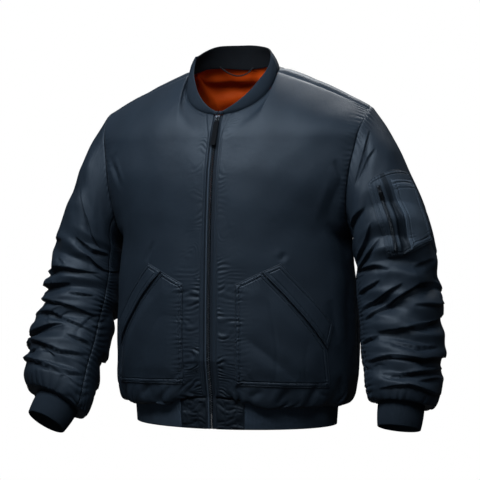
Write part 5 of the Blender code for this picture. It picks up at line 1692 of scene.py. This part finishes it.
def zip_facings(points, places):
    """The base, with a raised facing on each side of the zip and a slack hollow behind it."""
    turn, along = places[..., 0], places[..., 1]
    (top_turn, zip_start), (low_turn, zip_end) = SLEEVE_ZIP
    middle = np.interp(along, (zip_start, zip_end), (top_turn, low_turn))
    off = np.abs(turn - middle) * ARM_MM
    lift = patch_lift(points, 500, 0.0034, 0.0002, 0.00045)
    lift += 0.001 * smooth(off, 0.0026, 0.0036) * smooth(off, 0.012, 0.008)
    return lift - 0.0008 * bell(off, 0.0062, 0.0008)


def pen_lift(points, places):
    """The pen patch stands off along its free edge; its top is stitched through twice."""
    _, (bottom, top, back_edge, front_edge) = edge_distance(points)
    lift = patch_lift(points, 520, 0.0052, 0.0006, 0.0005, 0.0055)
    for inset in (0.01, 0.02):
        lift -= 0.0007 * bell(top, inset, 0.0012)
    free = np.minimum(back_edge, front_edge)
    return lift + 0.0022 * np.exp(-free / 0.005) * smooth(free, 0, 0.0012)


front_top, back_top, back_low, middle_low, front_low = SLEEVE_POCKET
grid = four_sided((front_low, middle_low, back_low), (front_top, back_top),
                  (front_low, front_top), (back_low, back_top), close_at_ends(0.098, 0.0011),
                  close_at_ends(0.15, 0.0018))
base = sleeve_patch(grid, zip_facings)
turn, along = base.places[..., 0], base.places[..., 1]
# Faces in the hollow beside the pen patch take the darker nylon: painted shade.
piece = folded_patch("patch_sleeve_pocket", base, 0.003, "matte", "block",
                     np.abs(turn - 57.5) < 3.5 + 2 * (along > 0.19))
settle(piece, "nylon", "sleeve_pocket")
for which in ("left", "bottom", "right", "top"):
    for inset in (STITCH_INSET, 0.008):
        STITCHES.append(base.offset_side(which, inset, inset, inset))

# %% [markdown]
# ## Pen patch
# The paler patch over the pocket's outer half; part of its paleness is painted light. It is
# stitched through twice near its top, which makes the pen slots.

# %% Pen patch
front_top, back_top, back_low, front_low = PEN_POCKET
grid = four_sided((front_low, back_low), (front_top, back_top), (front_low, front_top),
                  (back_low, back_top), close_at_ends(0.05, 0.0015),
                  close_at_ends(0.115, 0.0015, 0.00065, 0.022))
pen = sleeve_patch(grid, pen_lift)
piece = folded_patch("patch_sleeve_pen", pen, 0.0034, "facing")
settle(piece, "nylon", "sleeve_pocket_pen")
for which, inset in (("left", STITCH_INSET), ("bottom", STITCH_INSET), ("right", STITCH_INSET),
                     ("top", STITCH_INSET), ("top", 0.01), ("top", 0.02)):
    STITCHES.append(pen.offset_side(which, inset, STITCH_INSET, STITCH_INSET))

# %% [markdown]
# ## Zip teeth
# A row of moulded teeth that close on the centre line. Each tooth is a small rounded bar reaching
# across the middle, set by turns from the left and from the right. Hundreds of objects would be
# slow, so one small shape is stamped along the line into a single mesh.

# %% Zip teeth
SLIDER_Z = -0.1095            # height of the front slider on the centre line
TOOTH_SPACING, TOOTH_REACH = 0.0022, 0.00125
PANEL_ROWS = (0, 0.012, 0.026, 0.046, 0.075, 0.11, 0.15, 0.19, 0.23, 0.265, 0.3, *ARM_ROWS)


def centre_line():
    """Points and outward normals down the centre front, from the hem edge up."""
    band = np.array([band_point("left", 0, share) for share in (0, 0.5, 1)])
    heights = np.array(PANEL_ROWS)
    body = place(panel("front", "left", np.zeros_like(heights), heights), "left")
    points = np.concatenate([band, body[1:]])
    return points, unit(np.cross((1.0, 0, 0), unit(np.gradient(points, axis=0))))


def centre_path(spacing, low, high):
    """Even points up the centre line between two heights, with normals and upward directions."""
    points, normals = centre_line()
    fine = np.linspace(low, high, 400)
    line = follow(points, points[:, 2], fine)
    facing = unit(follow(normals, points[:, 2], fine))
    run = run_along(line)
    even = np.arange(0, run[-1], spacing)
    line, facing = follow(line, run, even), unit(follow(facing, run, even))
    return line, facing, unit(np.gradient(line, axis=0))


def stamped(name, shape, centres, frames, look):
    """One mesh of many copies of a small shape: vertices and faces, placed by frames."""
    vertices, faces = shape
    count = len(centres)
    points = centres[:, None] + np.einsum("vk,nkc->nvc", vertices, frames)
    mesh = bpy.data.meshes.new(name)
    all_faces = (np.arange(count)[:, None, None] * len(vertices) + faces[None]).reshape(-1, 4)
    mesh.from_pydata(points.reshape(-1, 3).tolist(), [],
                     [tuple(dict.fromkeys(face)) for face in all_faces.tolist()])
    mesh.polygons.foreach_set("use_smooth", np.ones(len(mesh.polygons), bool))
    uv = mesh.uv_layers.new(name="UVMap")
    shift = np.repeat(np.arange(count) * 0.003, len(vertices))[:, None]
    flat = np.tile(vertices[:, :2], (count, 1)) + shift
    corner = np.zeros(len(mesh.loops), np.int32)
    mesh.loops.foreach_get("vertex_index", corner)
    uv.data.foreach_set("uv", flat[corner].reshape(-1).astype(np.float32))
    mesh.materials.append(LOOKS[look])
    mesh.update()
    return add_object(name, mesh)


def rounded_bar(long, wide, high, taper=0.7, around=8, plain=False):
    """A bar along x with softened ends; a plain one has three sections in place of five."""
    sections = ((-1, taper * 0.6), (-0.86, taper), (0, 1), (0.86, taper), (1, taper * 0.6))
    if plain:
        sections = sections[::2]
    ring = np.radians((np.arange(around) + 0.5) * 360 / around)
    vertices = np.array([[long / 2 * s, wide / 2 * k * math.cos(a) * 1.05,
                          high / 2 * k * math.sin(a) * 1.05] for s, k in sections for a in ring])
    faces = []
    for section in range(len(sections) - 1):
        for k in range(around):
            a, b = section * around + k, section * around + (k + 1) % around
            faces.append((a, b, b + around, a + around))
    last = (len(sections) - 1) * around
    for first, order in ((0, (3, 2, 1, 0)), (last, (0, 1, 2, 3))):
        for quad in ((0, k, k + 1, k + 2) for k in range(1, around - 2, 2)):
            faces.append(tuple(first + quad[k] for k in order))
    return vertices, np.array(faces)


def by_turns(count, reach):
    """Plus and minus a reach, one after the other."""
    return np.where(np.arange(count) % 2 == 0, 1, -1)[:, None] * reach


line, facing, upward = centre_path(TOOTH_SPACING, HEM_EDGE_Z + 0.002, SLIDER_Z - 0.004)
across = np.cross(upward, facing)
frames = np.stack([across, upward, facing], axis=1)
centres = line + across * by_turns(len(line), TOOTH_REACH) - facing * 0.0001
teeth = stamped("zip_teeth", rounded_bar(0.0036, 0.0019, 0.0026), centres, frames, "teeth")
settle(teeth, "zip_tape", "zip_chain")
print("teeth:", len(line))

# %% [markdown]
# ## Zip tapes
# Two woven tapes run behind the teeth. On the wearer's right a bead of shell cloth stands up along
# the tape, in the paler facing nylon as a painted highlight. The strips behind the teeth take the
# darker knit as painted shade, so no light comes through the chain.

# %% Zip tapes
TAPE_OFFSETS = np.array([0.0001, 0.0024, 0.0033, 0.0037, 0.0045, 0.0053, 0.0057, 0.0064, 0.0105])


def zip_tape(side, bead, finishes):
    line, facing, _ = centre_path(0.002, HEM_EDGE_Z + 0.0005, NECK_FRONT_Z - 0.0015)
    depth = np.array([-0.0018, -0.0016, -0.001, bead * 0.8, bead, bead * 0.8, -0.001, -0.0013,
                      -0.0016])
    points = (line[:, None] + np.array([SIGN[side], 0, 0]) * TAPE_OFFSETS[None, :, None]
              + facing[:, None] * depth[None, :, None])
    facing = np.broadcast_to(facing[:, None], points.shape)
    uvs = cloth_uvs(points)
    tape = make_mesh("woven_zip_tape_" + side, points, uvs, "tape", facing,
                     also=["facing", "rib_painted_shade"])
    finishes = np.tile(finishes, len(line) - 1).astype(np.int32)
    tape.data.polygons.foreach_set("material_index", finishes)
    settle(tape, "zip_tape", "zip_tape_" + side)


# Finish 2, the darker knit behind the teeth, is painted shade; finish 1, the paler bead, is a
# painted highlight.
zip_tape("left", -0.0004, [2, 2, 0, 0, 0, 0, 0, 0])
zip_tape("right", 0.0018, [2, 2, 1, 1, 1, 1, 0, 0])

# %% [markdown]
# ## Topstitching
# Every seam that is stitched from outside gets its thread: short dashes that sink at both ends, 3
# mm to a stitch. They are cheap as one mesh, and they stay put when the cloth below is changed.

# %% Topstitching
STITCH, THREAD = 0.0031, 0.0005
BESIDE_SEAM = 0.0045          # a stitched line's distance from its seam


def stitch_frames(points, normals):
    """Middles and frames of the stitches along a line."""
    run = run_along(points)
    middles = np.arange(STITCH / 2, run[-1] - STITCH / 2, STITCH)
    start, end = (follow(points, run, middles + reach) for reach in (-STITCH * 0.4, STITCH * 0.4))
    facing = unit(follow(normals, run, middles))
    along = unit(end - start)
    beside = unit(np.cross(facing, along))
    frames = np.stack([along, beside, np.cross(along, beside)], 1)
    return follow(points, run, middles) + facing * 0.00012, frames


fine = np.linspace(0, 1, 160)
under_seam = np.full_like(fine, TOP - BESIDE_SEAM)
for side in SIGN:
    along = 0.012 + (TOP - 0.022) * fine
    around = zip_side(along, ZIP_EDGE + 0.0055, np.linspace(0, 0.2, 41))
    STITCHES.append(dressed_panel("front", side, around, along))
    shoulder = NECK_SHARE + (1 - NECK_SHARE) * (0.02 + 0.96 * fine)
    STITCHES.append(dressed_panel("back", side, shoulder, under_seam))
    for half, neck in (("front", 0.16 + 0.84 * fine), ("back", fine)):
        STITCHES.append(dressed_panel(half, side, NECK_SHARE * neck, under_seam))
        beside_armhole = np.full_like(fine, 1 - BESIDE_SEAM / QUARTER_GIRTH)
        STITCHES.append(dressed_panel(half, side, beside_armhole, 0.345 + (TOP - 0.352) * fine))
centres, frames = zip(*(stitch_frames(*line) for line in STITCHES))
one_stitch = rounded_bar(STITCH * 0.86, THREAD, THREAD, 0.55, around=6, plain=True)
threads = stamped("topstitching", one_stitch, np.concatenate(centres), np.concatenate(frames),
                  "thread")
settle(threads, "nylon")
print("stitches:", sum(len(c) for c in centres))

# %% [markdown]
# ## Zip on the sleeve pocket
# A fine coil between two facings: one woven strip with the coil stamped along it.

# %% Sleeve zip
# The strip's section: across, and off the cloth.
STRIP_MM = ((-4, -0.8), (-2.6, 0.2), (-2, -0.3), (0, -0.4), (2, -0.3), (2.6, 0.2), (4, -0.8))
COIL_SPACING = 0.0009

(top_turn, zip_start), (low_turn, zip_end) = SLEEVE_ZIP
share = np.linspace(0, 1, 190)
turn, along = top_turn + (low_turn - top_turn) * share, zip_start + (zip_end - zip_start) * share
points, normals = dressed_sleeve("left", along, turn, 0.0052)
way = unit(np.gradient(points, axis=0))
beside = unit(np.cross(normals, way))
over, proud = np.array(STRIP_MM).T[:, None, :, None] / 1000
strip = points[:, None] + beside[:, None] * over + normals[:, None] * proud
facing = np.broadcast_to(normals[:, None], strip.shape)
uvs = cloth_uvs(strip)
tape = make_mesh("woven_sleeve_tape", strip, uvs, "tape", facing)
settle(tape, "zip_tape", "sleeve_pocket_zip")
run = run_along(points)
even = np.arange(0.001, run[-1], COIL_SPACING)
centres, facing, upward = (follow(values, run, even) for values in (points, normals, way))
frames = np.stack([np.cross(upward, facing), upward, facing], axis=1)
coil = stamped("sleeve_zip_coil", rounded_bar(0.0046, 0.001, 0.0016),
               centres + frames[:, 0] * by_turns(len(even), 0.0004), frames, "teeth")
settle(coil, "zip_tape")
print("sleeve zip's coil:", len(even), "turns")

# %% [markdown]
# ## Sliders and pulls
# Sliders, rings and tabs keep the solids' own shapes, because they move, and take better finishes.

# %% Sliders and pulls
PULL_FINISHES = {"metal": ("zip_slider", "zip_pull_ring", "sleeve_slider", "sleeve_pull_ring",
                           "sleeve_pull_tab"),
                 "pull": ("zip_pull_tab",)}
for look, names in PULL_FINISHES.items():
    for name in names:
        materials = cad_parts[name].data.materials
        materials.clear()
        materials.append(LOOKS[look])
print("finished:", sum(len(names) for names in PULL_FINISHES.values()), "small parts")

# %% [markdown]
# ## Hanger loop
# Two strands twisted round each other, caught at both ends in the collar seam and sagging between.
# A single plain tube would look like wire.

# %% Hanger loop
LOOP_CENTRE, LOOP_HALF_SPAN, LOOP_SAG, LOOP_RADIUS = -0.018, 0.032, 0.016, 0.0016
LOOP_GAP = 0.0027             # between the loop and the collar's inner curve
LOOP_TWISTS, STRAND_OFFSET, STRAND_RADIUS = 11, 0.00085, 0.00095


def loop_line(count):
    """The hanger loop's centre line, from end to end."""
    points = []
    for share in np.linspace(-1, 1, count):
        x = LOOP_CENTRE + LOOP_HALF_SPAN * share
        turn = math.asin(abs(x) / NECK_HALF_WIDTH) / (math.pi / 2)
        seam = neckline("back", turn)
        back = RIB_WALL + LOOP_GAP + LOOP_RADIUS
        points.append((x, seam[1] + BODY_AXIS_Y - back, seam[2] - LOOP_SAG * (1 - share ** 2)))
    return np.array(points)


line = loop_line(170)
way = unit(np.gradient(line, axis=0))
aside = np.broadcast_to(np.array([0, 1.0, 0]), way.shape)
third = np.cross(way, aside)
turns = np.radians(np.arange(0, 361, 30.0))[None, :, None]
for number in (1, 2):
    twist = (np.linspace(0, 2 * math.pi * LOOP_TWISTS, len(line)) + (number - 1) * math.pi)[:, None]
    centre = line + STRAND_OFFSET * (np.cos(twist) * aside + np.sin(twist) * third)
    ring = centre[:, None] + STRAND_RADIUS * (np.cos(turns) * aside[:, None]
                                              + np.sin(turns) * third[:, None])
    uvs = cloth_uvs(ring)
    loop = make_mesh("hanger_strand_%d" % number, ring, uvs, "webbing")
    settle(loop, "webbing", *(["hanger_loop"] if number == 1 else []))
print("hanger loop:", round(run_along(line)[-1] * 1000), "mm from end to end")

# %% [markdown]
# ## Room
# A white studio. The floor and the air are pale to the camera's own rays alone: a floor that shone
# on the jacket as well would fill the folds with light and flatten them.

# %% Floor and air
def seen_by_camera(tree, lit, shown, output):
    """One shader for the room's light, and another for what the camera sees of it."""
    either = node(tree, "ShaderNodeMixShader")
    seen = node(tree, "ShaderNodeLightPath").outputs["Is Camera Ray"]
    for socket, source in zip(either.inputs, (seen, lit.outputs[0], shown.outputs[0])):
        tree.links.new(source, socket)
    tree.links.new(either.outputs[0], tree.nodes[output].inputs["Surface"])


LOOKS["studio_floor"] = satin("studio_floor", 0.004, 0.9, (0.05,) * 3, (0.07,) * 3, 0.0, (1,) * 4)
ground = LOOKS["studio_floor"].node_tree
pale = node(ground, "ShaderNodeEmission", Color=(0.93, 0.93, 0.93, 1), Strength=1.0)
seen_by_camera(ground, ground.nodes["Principled BSDF"], pale, "Material Output")
floor = np.array([[(x, y, -1.6) for x in np.linspace(-2.2, 2.2, 8)] for y in (-1.9, 1.8)])
make_mesh("floor", floor, floor[..., :2], "studio_floor")

world = bpy.data.worlds.new("studio_air")
bpy.context.scene.world = world
world.use_nodes = True
air = world.node_tree
dim = air.nodes["Background"]
dim.inputs["Color"].default_value = (1, 1, 1, 1)
dim.inputs["Strength"].default_value = 0.024
paper = node(air, "ShaderNodeBackground", Color=(1, 1, 1, 1), Strength=1.0)
seen_by_camera(air, dim, paper, "World Output")
print("room ready")

# %% [markdown]
# ## Lights
# One large soft light high in front and one behind, so satin shows broad soft highlights and a rim,
# and weak ones below and at the sides that keep the shaded folds readable.

# %% Lights
SOFT_LIGHTS = (
    # name, place, aim, size, power
    ("key_soft", (-0.2, -1.1, 1.0), (0, -0.05, -0.15), (1.5, 0.8), 37),
    ("front_fill", (-0.3, -2.6, -0.9), (0, -0.05, -0.55), (1.4, 0.8), 3),
    ("left_soft", (-1.5, -1.0, 0.9), (-0.1, -0.05, -0.2), (0.6, 0.6), 1),
    ("right_soft", (1.5, -1.0, 0.9), (0.2, -0.05, -0.2), (0.5, 0.5), 4),
    ("back_soft", (0.1, 1.25, 1.6), (0, 0.05, -0.3), (1.3, 0.8), 42),
)
for name, stand, aim, size, power in SOFT_LIGHTS:
    lamp = bpy.data.lights.new(name, "AREA")
    lamp.shape = "RECTANGLE"
    lamp.size, lamp.size_y = size
    lamp.energy = power
    thing = add_object(name, lamp)
    thing.location = stand
    way = Vector(aim) - Vector(stand)
    thing.rotation_euler = way.to_track_quat("-Z", "Y").to_euler()
bpy.context.scene.view_settings.view_transform = "Standard"
print("lights:", len(SOFT_LIGHTS))

# %% [markdown]
# ## Camera
# Level with the chest, 3 m away and 19 degrees round from straight ahead. A long lens from that far
# keeps the sleeves and the body in proportion.

# %% Camera
CAMERA_TURN = math.radians(19)
lens = bpy.data.cameras.new("camera")
lens.sensor_width = 36
lens.lens = 118.42
lens.clip_end = 60
camera = add_object("camera", lens)
camera.rotation_euler = (math.radians(90), 0, CAMERA_TURN)
camera.location = (0.983, -2.9024, -0.333)
bpy.context.scene.camera = camera
print("camera ready")
